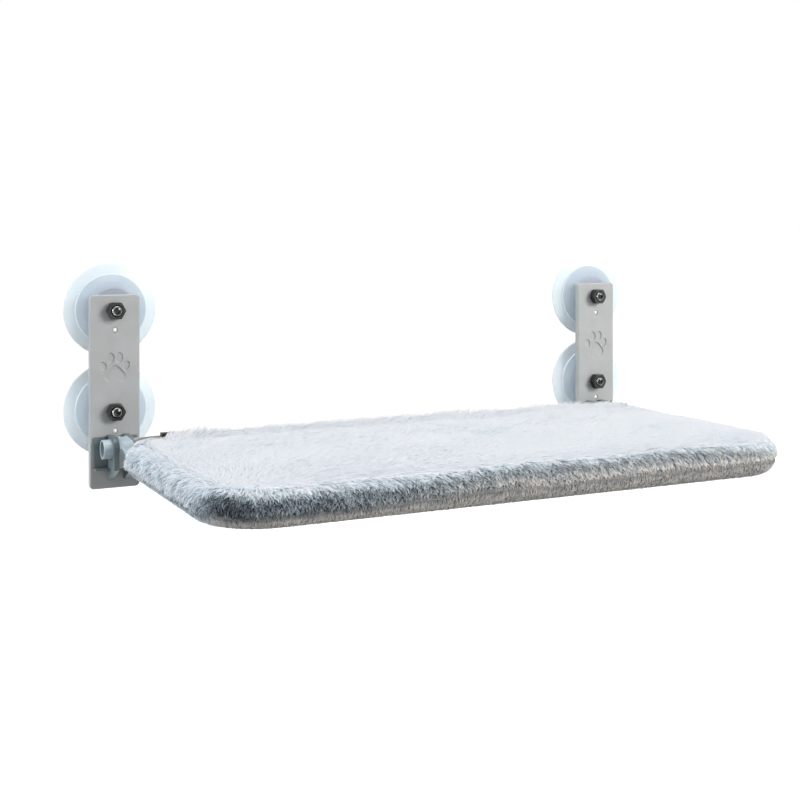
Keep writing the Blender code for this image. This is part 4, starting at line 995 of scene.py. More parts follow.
def nut_mesh():
    """Hexagon nut with a corner at each side, both its faces chamfered all round."""
    near = PLATE_FRONT_Y - GAP
    far = near - NUT_HEIGHT
    slope = math.tan(math.radians(NUT_CHAMFER_DEGREES))
    face_radius = NUT_FLATS / 2 * 0.96
    bore = STUD_RADIUS + GAP
    angles = [2 * math.pi * i / NUT_STEPS for i in range(NUT_STEPS)]
    hexagon = []
    for angle in angles:
        turn = angle % (math.pi / 3) - math.pi / 6
        hexagon.append(NUT_FLATS / 2 / math.cos(turn))

    def ring(radii, depths):
        return [(r * math.cos(a), y, r * math.sin(a)) for r, a, y in zip(radii, angles, depths)]

    flat = [face_radius] * NUT_STEPS
    drop = [max(r - face_radius, 0) * slope for r in hexagon]
    rings = [
        ring([bore] * NUT_STEPS, [near - NUT_BORE_CHAMFER] * NUT_STEPS),
        ring([bore + NUT_BORE_CHAMFER] * NUT_STEPS, [near] * NUT_STEPS),
        ring(flat, [near] * NUT_STEPS),
        ring(hexagon, [near - d for d in drop]),
        ring(hexagon, [far + d for d in drop]),
        ring(flat, [far] * NUT_STEPS),
        ring([bore + NUT_BORE_CHAMFER] * NUT_STEPS, [far] * NUT_STEPS),
        ring([bore] * NUT_STEPS, [far + NUT_BORE_CHAMFER] * NUT_STEPS),
    ]
    return rings_mesh("cup_nut_form", [rings], closed=True)


def build_cups(finish):
    """The four suction cups with their pegs, studs and nuts."""
    cup = rings_mesh("cup_form", [turned_rings(cup_profile(), "Y", CUP_STEPS)])
    peg = turned_rings(peg_profile(), "Y", STUD_STEPS, (0, -CUP_PEG_DROP))
    peg_mesh = rings_mesh("peg_form", [peg])
    stud = rings_mesh("stud_form", [turned_rings(stud_profile(), "Y", STUD_STEPS)])
    nut = nut_mesh()
    for side, side_name in ((-1, "left"), (1, "right")):
        for level, level_name in ((1, "upper"), (-1, "lower")):
            label = f"{side_name}_{level_name}"
            place = (side * CUP_X, 0, level * CUP_Z)
            item = add_piece(f"cup_bell_{label}", cup, finish["vinyl"], "brackets", place, SMOOTH_DEGREES)
            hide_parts(f"suction_cup_{label}")
            item = add_piece(f"cup_peg_{label}", peg_mesh, finish["peg"], "brackets", place, SMOOTH_DEGREES)
            item = add_piece(f"stud_end_{label}", stud, finish["stud_steel"], "brackets", place,
                             STUD_SMOOTH_DEGREES)
            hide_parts(f"cup_stud_{label}")
            item = add_piece(f"hex_nut_{label}", nut, finish["black_steel"], "brackets", place,
                             NUT_SMOOTH_DEGREES)
            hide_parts(f"cup_nut_{label}")


def tray_rings():
    """The plate's skin: front face, bend, flange, its edge and the hollow behind."""
    inner_bend = PLATE_BEND / 2
    line = []
    for i in range(PLATE_BEND_STEPS + 1):
        angle = math.pi / 2 * i / PLATE_BEND_STEPS
        line.append((PLATE_BEND * (1 - math.sin(angle)), PLATE_BEND * (1 - math.cos(angle))))
    middle = PLATE_FLANGE / 2
    corners = ((0, middle), (0, PLATE_FLANGE), (PLATE_THICKNESS, PLATE_FLANGE), (PLATE_THICKNESS, middle))
    edge = filleted(corners, PLATE_EDGE, 3)
    line += edge[1:-1]
    for i in range(PLATE_BEND_STEPS + 1):
        angle = math.pi / 2 * i / PLATE_BEND_STEPS
        inset = PLATE_THICKNESS + inner_bend * (1 - math.cos(angle))
        line.append((inset, PLATE_THICKNESS + inner_bend * (1 - math.sin(angle))))
    rings = []
    for inset, depth in line:
        radius = max(PLATE_CORNER - inset, PLATE_EDGE)
        low, high = PLATE_BOTTOM_Z + inset, PLATE_TOP_Z - inset
        outline = rounded_outline(PLATE_WIDTH / 2 - inset, low, high, radius, radius, PLATE_CORNER_STEPS)
        rings.append([lay("Y", PLATE_FRONT_Y + depth, x, z) for x, z in outline])
    return rings


def pressed_rings(outline, centre):
    """A recess cutter whose sides curve from the plate's face into its floor."""
    reach = sum(math.dist(point, centre) for point in outline) / len(outline)
    rings = []
    for depth, spread in PAW_PRESS_SHARES:
        share = 1 + PAW_PRESS_SPREAD * spread / reach
        y = PLATE_FRONT_Y + PAW_PRESS_DEPTH * depth
        rings.append([lay("Y", y, centre[0] + (x - centre[0]) * share, centre[1] + (z - centre[1]) * share)
                      for x, z in outline])
    return rings


def smooth_loop(points, rounds):
    """A closed outline with its corners cut off again and again."""
    for _ in range(rounds):
        result = []
        for i, (x0, z0) in enumerate(points):
            x1, z1 = points[(i + 1) % len(points)]
            result.append((x0 * 0.75 + x1 * 0.25, z0 * 0.75 + z1 * 0.25))
            result.append((x0 * 0.25 + x1 * 0.75, z0 * 0.25 + z1 * 0.75))
        points = result
    return points


def paw_groups():
    """Recess cutters for the paw's four toes and its pad."""
    groups = []
    for across, up, half_width, half_height, lean in PAW_TOE_SHARES:
        centre = (across * PAW_WIDTH, PAW_CENTRE_Z + up * PAW_HEIGHT)
        turn = math.radians(lean)
        outline = []
        for x, z in circle(1, PAW_STEPS):
            x = x * half_width * PAW_WIDTH
            z = z * half_height * PAW_HEIGHT
            turned_x = x * math.cos(turn) - z * math.sin(turn)
            turned_z = x * math.sin(turn) + z * math.cos(turn)
            outline.append((centre[0] + turned_x, centre[1] + turned_z))
        groups.append(pressed_rings(outline, centre))
    corners = [(x * PAW_WIDTH, PAW_CENTRE_Z + z * PAW_HEIGHT) for x, z in PAW_PAD_SHARES]
    pad = smooth_loop(corners, PAW_PAD_ROUNDS)
    low = min(z for x, z in pad)
    high = max(z for x, z in pad)
    groups.append(pressed_rings(pad, (0, (low + high) / 2)))
    return groups


def build_plates(finish):
    """The two pressed plates with their holes and the paw ornament."""
    near = PLATE_FRONT_Y - CUT_OVERRUN
    far = PLATE_FRONT_Y + PLATE_THICKNESS + CUT_OVERRUN
    for side, side_name in ((-1, "left"), (1, "right")):
        mesh = rings_mesh("plate_form", [tray_rings()])
        place = (side * CUP_X, 0, 0)
        item = add_piece(f"pressed_plate_{side_name}", mesh, finish["grey_paint"], "brackets", place)
        groups = paw_groups()
        for level in (1, -1):
            z = level * CUP_Z
            groups.append(prism_rings(circle(STUD_RADIUS + GAP, STUD_STEPS, (0, z)), "Y", near, far))
            peg = circle(CUP_PEG_RADIUS + GAP, STUD_STEPS, (0, z - CUP_PEG_DROP))
            groups.append(prism_rings(peg, "Y", near, far))
        for inward in (RIVET_OUTER_INWARD, RIVET_INNER_INWARD):
            hole = circle(RIVET_RADIUS + GAP, STUD_STEPS, (-side * inward, AXIS_Z))
            groups.append(prism_rings(hole, "Y", near, far))
        cut(item, groups)
        even_shading(item)
        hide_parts(f"bracket_plate_{side_name}")


def build_tube(finish):
    """The rear tube, its ends slightly rounded, with the holes of the grub screws."""
    inner = TUBE_RADIUS - TUBE_WALL
    corners = ((inner, 0), (inner, TUBE_REACH), (TUBE_RADIUS, TUBE_REACH), (TUBE_RADIUS, 0))
    right = filleted(corners, (0, TUBE_EDGE, TUBE_EDGE, 0), 4)
    left = [(radius, -along) for radius, along in reversed(right)]
    profile = right[1:-1] + left[1:-1]
    rings = turned_rings(profile, "X", TUBE_STEPS, (out_y(AXIS_OUT), AXIS_Z))
    mesh = rings_mesh("hinge_tube", [rings], closed=True)
    item = add_piece("hinge_tube", mesh, finish["blue_grey_paint"], "bed")
    holes = []
    middle = CUP_X - (ARM_OUTER + ARM_INNER) / 2
    for side in (-1, 1):
        hole = circle(GRUB_RADIUS + GAP, STUD_STEPS // 2, (side * middle, out_y(AXIS_OUT)))
        holes.append(prism_rings(hole, "Z", AXIS_Z + TUBE_RADIUS / 2, AXIS_Z + TUBE_RADIUS + CUT_OVERRUN))
    cut(item, holes)
    even_shading(item)
    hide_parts("rear_tube")


# Bed frame

def rail_path(out_start, out_bend, radius, direction):
    """Level path of a bow: up one side, across the end and back down the other side."""
    corner_x = RAIL_X - radius
    corner_out = out_bend - direction * radius
    path = [(-RAIL_X, out_y(out_start))]
    for sign in (-1, 1):
        for i in range(RAIL_BEND_STEPS + 1):
            step = i if sign < 0 else RAIL_BEND_STEPS - i
            angle = math.pi / 2 * step / RAIL_BEND_STEPS
            x = sign * (corner_x + radius * math.cos(angle))
            out = corner_out + direction * radius * math.sin(angle)
            path.append((x, out_y(out)))
    path.append((RAIL_X, out_y(out_start)))
    return path


def pipe_rings(path, radius, z):
    """Rings round a level path, square to it at each point."""
    rings = []
    for i, (x, y) in enumerate(path):
        here = Vector((x, y))
        before = Vector(path[max(i - 1, 0)])
        after = Vector(path[min(i + 1, len(path) - 1)])
        steps = [step.normalized() for step in (here - before, after - here) if step.length > 0]
        along = sum(steps, Vector((0, 0))).normalized()
        stretch = 1 / max(along.dot(steps[-1]), 0.5)
        across = Vector((-along.y, along.x))
        ring = []
        for first, second in circle(radius, RAIL_SIDES):
            point = here + across * first * stretch
            ring.append((point.x, point.y, z + second))
        rings.append(ring)
    return rings


def build_bows(finish):
    """The two bent tubes of the bed frame and the joiners inside them."""
    rear_out = COVER_REAR + RAIL_INSET
    front_out = COVER_FRONT - RAIL_INSET
    rear = rail_path(RAIL_JOINT_OUT - GAP / 2, rear_out, COVER_REAR_CORNER - RAIL_INSET, -1)
    front = rail_path(RAIL_JOINT_OUT + GAP / 2, front_out, COVER_FRONT_CORNER - RAIL_INSET, 1)
    for name, node, path in (("rear_rail", "rear_bow", rear), ("front_rail", "front_bow", front)):
        outer = pipe_rings(path, RAIL_RADIUS, RAIL_Z)
        inner = pipe_rings(path, RAIL_RADIUS - RAIL_WALL, RAIL_Z)
        mesh = rings_mesh(name, [outer + inner[::-1]], closed=True)
        item = add_piece(name, mesh, finish["raw_steel"], "bed")
        if node == "rear_bow":
            holes = []
            for side in (-1, 1):
                for out in BOLT_OUTS:
                    hole = circle(BOLT_RADIUS + GAP, STUD_STEPS // 2, (side * RAIL_X, out_y(out)))
                    holes.append(prism_rings(hole, "Z", RAIL_Z, RAIL_Z + RAIL_RADIUS + CUT_OVERRUN))
            cut(item, holes)
        even_shading(item)
        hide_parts(node)
    radius = RAIL_RADIUS - RAIL_WALL - GAP
    half = JOINER_LENGTH / 2
    for side, side_name in ((-1, "left"), (1, "right")):
        ends = [(side * RAIL_X, out_y(RAIL_JOINT_OUT + sign * half)) for sign in (-1, 1)]
        outer = pipe_rings(ends, radius, RAIL_Z)
        inner = pipe_rings(ends, radius - JOINER_WALL, RAIL_Z)
        mesh = rings_mesh("joiner", [outer + inner[::-1]], closed=True)
        item = add_piece(f"rail_joiner_{side_name}", mesh, finish["raw_steel"], "bed",
                         smooth_degrees=SMOOTH_DEGREES)
        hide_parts(f"bow_joiner_{side_name}")


def sheet_outline():
    """The sling's flat part, cut back at the arms."""
    rear_radius = COVER_REAR_CORNER - RAIL_INSET
    front_radius = COVER_FRONT_CORNER - RAIL_INSET
    rear_x = RAIL_X - rear_radius - SLEEVE_END_INSET
    front_x = RAIL_X - front_radius - SLEEVE_END_INSET
    arm_x = CUP_X - ARM_INNER - SHEET_ARM_CLEARANCE
    rear = out_y(COVER_REAR + RAIL_INSET)
    front = out_y(COVER_FRONT - RAIL_INSET)
    side_start = out_y(ARM_BAR_END + SHEET_ARM_CLEARANCE)
    side_stop = front + front_radius + SLEEVE_END_INSET
    half = [
        (rear_x, rear),
        (arm_x, rear - (arm_x - rear_x)),
        (arm_x, side_start),
        (RAIL_X, side_start),
        (RAIL_X, side_stop),
        (front_x, front),
    ]
    return half + [(-x, y) for x, y in reversed(half)]


def build_sling(finish):
    """The stretched sheet and its four sleeves round the rails."""
    top = RAIL_Z + SLEEVE_RADIUS - SHEET_BELOW_TOP
    outline = sheet_outline()
    mesh = rings_mesh("sling_sheet", [prism_rings(outline, "Z", top - SHEET_THICKNESS, top)])
    sheet = add_piece("sling_sheet", mesh, finish["sling"], "bed")
    rear_reach = RAIL_X - (COVER_REAR_CORNER - RAIL_INSET) - SLEEVE_END_INSET
    front_reach = RAIL_X - (COVER_FRONT_CORNER - RAIL_INSET) - SLEEVE_END_INSET
    side_start = out_y(ARM_BAR_END + SHEET_ARM_CLEARANCE)
    side_stop = out_y(COVER_FRONT - COVER_FRONT_CORNER - SLEEVE_END_INSET)
    spans = (
        ("left", "Y", (-RAIL_X, RAIL_Z), side_stop, side_start),
        ("right", "Y", (RAIL_X, RAIL_Z), side_stop, side_start),
        ("rear", "X", (out_y(COVER_REAR + RAIL_INSET), RAIL_Z), -rear_reach, rear_reach),
        ("front", "X", (out_y(COVER_FRONT - RAIL_INSET), RAIL_Z), -front_reach, front_reach),
    )
    for name, axis, centre, start, stop in spans:
        inner = RAIL_RADIUS + GAP
        profile = ((inner, start), (SLEEVE_RADIUS, start), (SLEEVE_RADIUS, stop), (inner, stop))
        rings = turned_rings(profile, axis, RAIL_SIDES, centre)
        mesh = rings_mesh("sleeve", [rings], closed=True)
        sleeve = add_piece(f"sling_sleeve_{name}", mesh, finish["sling"], "bed",
                           smooth_degrees=SMOOTH_DEGREES)
    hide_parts("sling_panel")


# Plush cover and foam

def waves(x, y, seed, length):
    """Soft uneven height from -1 to 1 over the plane, the same on every run."""
    numbers = np.random.default_rng(seed)
    total = np.zeros_like(x)
    count = 7
    for _ in range(count):
        angle = numbers.uniform(0, 2 * math.pi)
        phase = numbers.uniform(0, 2 * math.pi)
        scale = 2 * math.pi / (length * numbers.uniform(0.6, 1.6))
        total += np.sin((x * math.cos(angle) + y * math.sin(angle)) * scale + phase)
    return total / math.sqrt(count)


def cover_outline(inset):
    """The bed's outline, drawn in by an inset, with the same number of points at every inset."""
    half = COVER_WIDTH / 2 - inset
    low = out_y(COVER_FRONT - inset)
    high = out_y(COVER_REAR + inset)
    front_radius = max(COVER_FRONT_CORNER - inset, COVER_LEAST_CORNER)
    rear_radius = max(COVER_REAR_CORNER - inset, COVER_LEAST_CORNER)
    corners = rounded_outline(half, low, high, front_radius, rear_radius, SKIN_CORNER_STEPS)
    per_corner = SKIN_CORNER_STEPS + 1
    points = []
    for number in range(4):
        points += corners[number * per_corner:(number + 1) * per_corner]
        start = Vector(points[-1])
        stop = Vector(corners[(number + 1) * per_corner % len(corners)])
        count = SKIN_LONG_POINTS if number % 2 == 0 else SKIN_SHORT_POINTS
        for i in range(1, count + 1):
            points.append(tuple(start.lerp(stop, i / (count + 1))))
    return points


def crown_height(inset):
    share = np.clip((inset - COVER_ROUNDING) / (COVER_CROWN_REACH - COVER_ROUNDING), 0, 1)
    return COVER_CROWN * (1 - (1 - share) ** 2)


def skin_rings(profile, wave):
    """Rings of the skin at each inset and height, with the soft unevenness added to the height."""
    rings = []
    for inset, z in profile:
        outline = np.array(cover_outline(inset))
        uneven = waves(outline[:, 0], outline[:, 1], FUR_SEED, SKIN_WAVE_LENGTH) * wave
        rings.append([(x, y, z + lift) for (x, y), lift in zip(outline.tolist(), uneven.tolist())])
    return rings


def rounded_profile(side_inset, rounding, seam_z, flat_z):
    profile = []
    for i in range(SKIN_ROUND_STEPS + 1):
        angle = math.pi / 2 * i / SKIN_ROUND_STEPS
        inset = side_inset + rounding * (1 - math.cos(angle))
        profile.append((inset, seam_z + (flat_z - seam_z) * math.sin(angle)))
    return profile


def crown_profile(start_inset, flat_z):
    profile = []
    for i in range(1, SKIN_CROWN_STEPS + 1):
        inset = start_inset + (COVER_CROWN_REACH - start_inset) * i / SKIN_CROWN_STEPS
        profile.append((inset, flat_z + float(crown_height(inset))))
    return profile


def zip_path(inset, steps=14):
    """Level path of the zip, along the rear edge and round a part of both rear corners."""
    corner_x = COVER_WIDTH / 2 - COVER_REAR_CORNER
    radius = COVER_REAR_CORNER - inset
    path = []
    for sign in (-1, 1):
        for i in range(steps + 1):
            step = steps - i if sign < 0 else i
            angle = math.radians(ZIP_CORNER_DEGREES) * step / steps
            x = sign * (corner_x + radius * math.sin(angle))
            out = COVER_REAR + COVER_REAR_CORNER - radius * math.cos(angle)
            path.append((x, out_y(out)))
    return path


def band_rings(half_width, low, high):
    near = zip_path(ZIP_INSET - half_width)
    far = zip_path(ZIP_INSET + half_width)
    rings = []
    for (x0, y0), (x1, y1) in zip(near, far):
        rings.append([(x0, y0, low), (x1, y1, low), (x1, y1, high), (x0, y0, high)])
    return rings


def notch_rings(side):
    """The opening in the cover that an arm passes through."""
    outer = CUP_X - ARM_OUTER + NOTCH_CLEARANCE
    inner = CUP_X - ARM_INNER - NOTCH_CLEARANCE
    edges = sorted((side * outer, side * inner))
    low = (edges[0], out_y(NOTCH_END), COVER_SEAM_Z - CUT_OVERRUN)
    high = (edges[1], out_y(COVER_REAR - CUT_OVERRUN), ARM_BAR_TOP_Z + NOTCH_CLEARANCE)
    return box_rings(low, high)


def build_skins(finish):
    """The cover's upper half with its arm notches and zip slot, and its lower half, each a hollow shell."""
    seam = COVER_SEAM_Z + GAP / 2
    top = COVER_TOP_Z - SKIN_DEPTH_TOP
    ceiling = top - SKIN_THICKNESS
    rounding = COVER_ROUNDING - SKIN_DEPTH_SIDE
    outer = rounded_profile(SKIN_DEPTH_SIDE, rounding, seam, top)
    outer += crown_profile(COVER_ROUNDING, top)
    inner = rounded_profile(SKIN_DEPTH_SIDE + SKIN_THICKNESS, rounding - SKIN_THICKNESS, seam, ceiling)
    inner += crown_profile(COVER_ROUNDING, ceiling)
    rings = skin_rings(outer[::-1], SKIN_WAVE) + skin_rings(inner, SKIN_WAVE)
    mesh = rings_mesh("plush_ground_top", [rings])
    item = add_piece("plush_ground_top", mesh, finish["plush_ground_top"], "bed")
    slot = band_rings(ZIP_WIDTH / 2 + GAP, ZIP_BOTTOM_Z - 2 * CUT_OVERRUN, ZIP_TOP_Z + CUT_OVERRUN)
    cut(item, [notch_rings(-1), notch_rings(1), slot])
    shade_rounded(item.data, SKIN_SMOOTH_DEGREES)
    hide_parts("plush_cover_top")

    seam = COVER_SEAM_Z - GAP / 2
    bottom = COVER_BOTTOM_Z + SKIN_DEPTH_SIDE
    rounding = COVER_LOWER_ROUNDING - SKIN_DEPTH_SIDE
    outer = rounded_profile(SKIN_DEPTH_SIDE, rounding, seam, bottom)
    inner = rounded_profile(SKIN_DEPTH_SIDE + SKIN_THICKNESS, rounding - SKIN_THICKNESS, seam,
                            bottom + SKIN_THICKNESS)
    rings = skin_rings(outer[::-1], 0) + skin_rings(inner, 0)
    mesh = rings_mesh("plush_ground_lower", [rings])
    item = add_piece("plush_ground_lower", mesh, finish["plush_ground_lower"], "bed",
                     smooth_degrees=SKIN_SMOOTH_DEGREES)
    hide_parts("plush_cover_lower")


def build_foam(finish):
    """The foam core, cut back where the arms pass."""
    profile = [(FOAM_EDGE, FOAM_BOTTOM_Z)]
    profile += rounded_profile(FOAM_EDGE, FOAM_ROUNDING, FOAM_BOTTOM_Z + FOAM_SIDE_HEIGHT, FOAM_TOP_Z)
    for inset, z in crown_profile(COVER_ROUNDING + GAP, FOAM_TOP_Z):
        profile.append((inset, z - GAP))
    mesh = rings_mesh("foam_core", [skin_rings(profile, 0)])
    item = add_piece("foam_core", mesh, finish["foam"], "bed")
    groups = []
    for side in (-1, 1):
        inner = side * (CUP_X - ARM_INNER - FOAM_ARM_CLEARANCE)
        beyond = side * (COVER_WIDTH / 2 + CUT_OVERRUN)
        low = (min(inner, beyond), out_y(ARM_BAR_END + FOAM_ARM_CLEARANCE), FOAM_BOTTOM_Z - CUT_OVERRUN)
        high = (max(inner, beyond), out_y(COVER_REAR - CUT_OVERRUN), COVER_TOP_Z)
        groups.append(box_rings(low, high))
    cut(item, groups)
    shade_rounded(item.data, FOAM_SMOOTH_DEGREES)
    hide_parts("foam_pad")


def build_zip(finish):
    """The zip's tape and its two staggered rows of teeth."""
    mesh = rings_mesh("zip_band", [band_rings(ZIP_WIDTH / 2, ZIP_BOTTOM_Z, ZIP_TAPE_TOP_Z)])
    item = add_piece("zip_band", mesh, finish["zip_fabric"], "bed")
    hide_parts("zip_tape")
    path = [Vector(point) for point in zip_path(ZIP_INSET, 28)]
    groups = []
    along = TOOTH_PITCH / 2
    side = 1
    for start, stop in zip(path, path[1:]):
        step = stop - start
        forward = step.normalized()
        across = Vector((-forward.y, forward.x))
        while along < step.length:
            middle = start + forward * along + across * side * TOOTH_WIDTH / 8
            ring = []
            for a, b in ((-1, -1), (1, -1), (1, 1), (-1, 1)):
                point = middle + forward * a * TOOTH_LENGTH / 2 + across * b * TOOTH_WIDTH / 2
                ring.append(point)
            low = [(p.x, p.y, ZIP_TAPE_TOP_Z - GAP) for p in ring]
            top = [p * TOOTH_TOP_SHARE + middle * (1 - TOOTH_TOP_SHARE) for p in ring]
            high = [(p.x, p.y, ZIP_TAPE_TOP_Z + TOOTH_HEIGHT) for p in top]
            groups.append([low, high])
            along += TOOTH_PITCH
            side = -side
        along -= step.length
    item = add_piece("zip_teeth", rings_mesh("zip_teeth", groups), finish["zip_teeth"], "bed")


# Fur

def rim_place(along):
    """Points on the bed's outline and its outward directions, from places along it."""
    half = COVER_WIDTH / 2
    front = out_y(COVER_FRONT)
    rear = out_y(COVER_REAR)
    rf, rr = COVER_FRONT_CORNER, COVER_REAR_CORNER
    parts = (
        ((rf - half, front), (1, 0), 2 * (half - rf), 0, 0),
        ((half - rf, front + rf), None, math.pi / 2 * rf, rf, -90.0),
        ((half, front + rf), (0, 1), rear - rr - front - rf, 0, 0),
        ((half - rr, rear - rr), None, math.pi / 2 * rr, rr, 0.0),
        ((half - rr, rear), (-1, 0), 2 * (half - rr), 0, 0),
        ((rr - half, rear - rr), None, math.pi / 2 * rr, rr, 90.0),
        ((-half, rear - rr), (0, -1), rear - rr - front - rf, 0, 0),
        ((rf - half, front + rf), None, math.pi / 2 * rf, rf, 180.0),
    )
    total = sum(part[2] for part in parts)
    along = (along % 1.0) * total
    points = np.zeros((len(along), 2))
    outward = np.zeros((len(along), 2))
    reached = 0.0
    for (x, y), direction, length, radius, start in parts:
        here = (along >= reached) & (along < reached + length + 1e-9)
        rest = along[here] - reached
        if direction:
            points[here] = np.array([x, y]) + rest[:, None] * np.array(direction)
            outward[here] = np.array([direction[1], -direction[0]])
        else:
            angle = np.radians(start) + rest / radius
            facing = np.stack([np.cos(angle), np.sin(angle)], axis=1)
            points[here] = np.array([x, y]) + radius * facing
            outward[here] = facing
        reached += length
    return points, outward, total


def inset_of(x, y):
    """How far inside the bed's outline points lie."""
    front = out_y(COVER_FRONT)
    rear = out_y(COVER_REAR)
    middle = (front + rear) / 2
    radius = np.where(y < middle, COVER_FRONT_CORNER, COVER_REAR_CORNER)
    qx = np.abs(x) - COVER_WIDTH / 2 + radius
    qy = np.abs(y - middle) - (rear - front) / 2 + radius
    outside = np.hypot(np.maximum(qx, 0), np.maximum(qy, 0))
    return -(outside + np.minimum(np.maximum(qx, qy), 0) - radius)


def unit(vectors):
    return vectors / np.linalg.norm(vectors, axis=1, keepdims=True)


def grow_tufts(name, roots, normals, start, stop, lengths, widths, tones, warmths, material, numbers,
               own_shading=FUR_OWN_SHADING, segments=3, spin=TUFT_SPIN):
    """Fur of flat tapering tufts: each leaves its root along start and bends towards stop."""
    count = len(roots)
    shares = np.linspace(0.0, 1.0, segments + 1)
    rows = []
    for share in shares:
        rows.append(roots + lengths[:, None] * (start * (share - share ** 2 / 2) + stop * share ** 2 / 2))
    across = np.cross(start + stop, normals)
    turned = numbers.normal(0, spin, count)[:, None]
    across = unit(unit(across) + turned * normals)
    corners_each = 2 * segments + 1
    points = np.zeros((count, corners_each, 3))
    for row in range(segments):
        reach = across * (widths * TUFT_WIDTH_SHARES[row] / 2)[:, None]
        points[:, row * 2] = rows[row] - reach
        points[:, row * 2 + 1] = rows[row] + reach
    points[:, -1] = rows[-1]
    first = np.arange(count)[:, None] * corners_each
    quads = np.concatenate([first + 2 * row + np.array([0, 1, 3, 2]) for row in range(segments - 1)], axis=0)
    tips = first + 2 * (segments - 1) + np.array([0, 1, 2])
    mesh = bpy.data.meshes.new(name)
    mesh.from_pydata(points.reshape(-1, 3).tolist(), [], quads.tolist() + tips.tolist())
    levels = TONE_LEVELS
    tone_step = np.clip((tones * levels).astype(int), 0, levels - 1)
    warm_step = np.clip((warmths * levels).astype(int), 0, levels - 1)
    row_shares = np.append(np.repeat(shares[:-1], 2), 1.0)
    columns = {
        "tuft_tone": np.repeat((tone_step + 0.5) / levels, corners_each),
        "tuft_warmth": np.repeat((warm_step + 0.5) / levels, corners_each),
        "tuft_share": np.tile(row_shares, count),
    }
    for key, column in columns.items():
        mesh.attributes.new(key, "FLOAT", "POINT").data.foreach_set("value", column.astype(np.float32))
    # Tufts of the same tone and warmth share a cell of the map, where they have the same colours.
    cell_x = np.append(np.tile([0.1, 0.9], segments), 0.5)
    cell_y = 0.1 + 0.8 * row_shares
    map_x = (tone_step[:, None] + cell_x) / levels
    map_y = (warm_step[:, None] + cell_y) / levels
    corners = np.zeros(len(mesh.loops), dtype=np.int64)
    mesh.loops.foreach_get("vertex_index", corners)
    layer = mesh.uv_layers.new(name="OFBake")
    places = np.stack([map_x.reshape(-1)[corners], map_y.reshape(-1)[corners]], axis=1)
    layer.data.foreach_set("uv", places.reshape(-1).astype(np.float32))
    mesh.materials.append(material)
    mesh.shade_smooth()
    own = unit(np.cross(across, start + stop))
    facing = np.sign(np.sum(own * normals, axis=1))[:, None]
    shading = unit(own * facing * own_shading + normals)
    mesh.normals_split_custom_set_from_vertices(np.repeat(shading, corners_each, axis=0).tolist())
    return mesh


def jittered(width, height, cell, numbers):
    """Places spread over a rectangle from 0 to its width and height, one at random in each cell."""
    step = math.sqrt(cell)
    columns = max(int(width / step), 1)
    rows = max(int(height / step), 1)
    across, up = np.meshgrid(np.arange(columns), np.arange(rows))
    x = (across.ravel() + numbers.uniform(0, 1, columns * rows)) * width / columns
    y = (up.ravel() + numbers.uniform(0, 1, columns * rows)) * height / rows
    return x, y


def flat_places(cell, least_inset, numbers):
    front = out_y(COVER_FRONT)
    x, y = jittered(COVER_WIDTH, COVER_FRONT - COVER_REAR, cell, numbers)
    x -= COVER_WIDTH / 2
    y += front
    keep = inset_of(x, y) >= least_inset
    return x[keep], y[keep]


def left_share(x):
    """How far the top fur has turned from its comb across the bed to the flow along the left rim."""
    return smooth_step(x + COVER_WIDTH / 2, LEFT_TURN_REACH, COVER_ROUNDING)


def outward_at(x, y):
    """Direction towards the nearest part of the outline."""
    slope_x = inset_of(x + SLOPE_STEP, y) - inset_of(x - SLOPE_STEP, y)
    slope_y = inset_of(x, y + SLOPE_STEP) - inset_of(x, y - SLOPE_STEP)
    return unit(-np.stack([slope_x, slope_y], axis=1) + 1e-9)


def smooth_step(value, low, high):
    share = np.clip((value - low) / (high - low), 0, 1)
    return share * share * (3 - 2 * share)


def with_z(flat, z):
    return np.column_stack([flat, np.broadcast_to(z, len(flat))])


def parting_drop(x, y):
    """How far the fur's parting hangs under the sewn seam."""
    across = np.clip(x / COVER_WIDTH + 0.5, 0, 1)
    drop = PARTING_DROP_LEFT + (PARTING_DROP_RIGHT - PARTING_DROP_LEFT) * smooth_step(across, *PARTING_SHARES)
    drop += PARTING_WAVE * waves(x, y, FUR_SEED + 9, PARTING_WAVE_LENGTH)
    return drop + PARTING_RUFFLE * waves(x, y, FUR_SEED + 8, PARTING_RUFFLE_LENGTH)


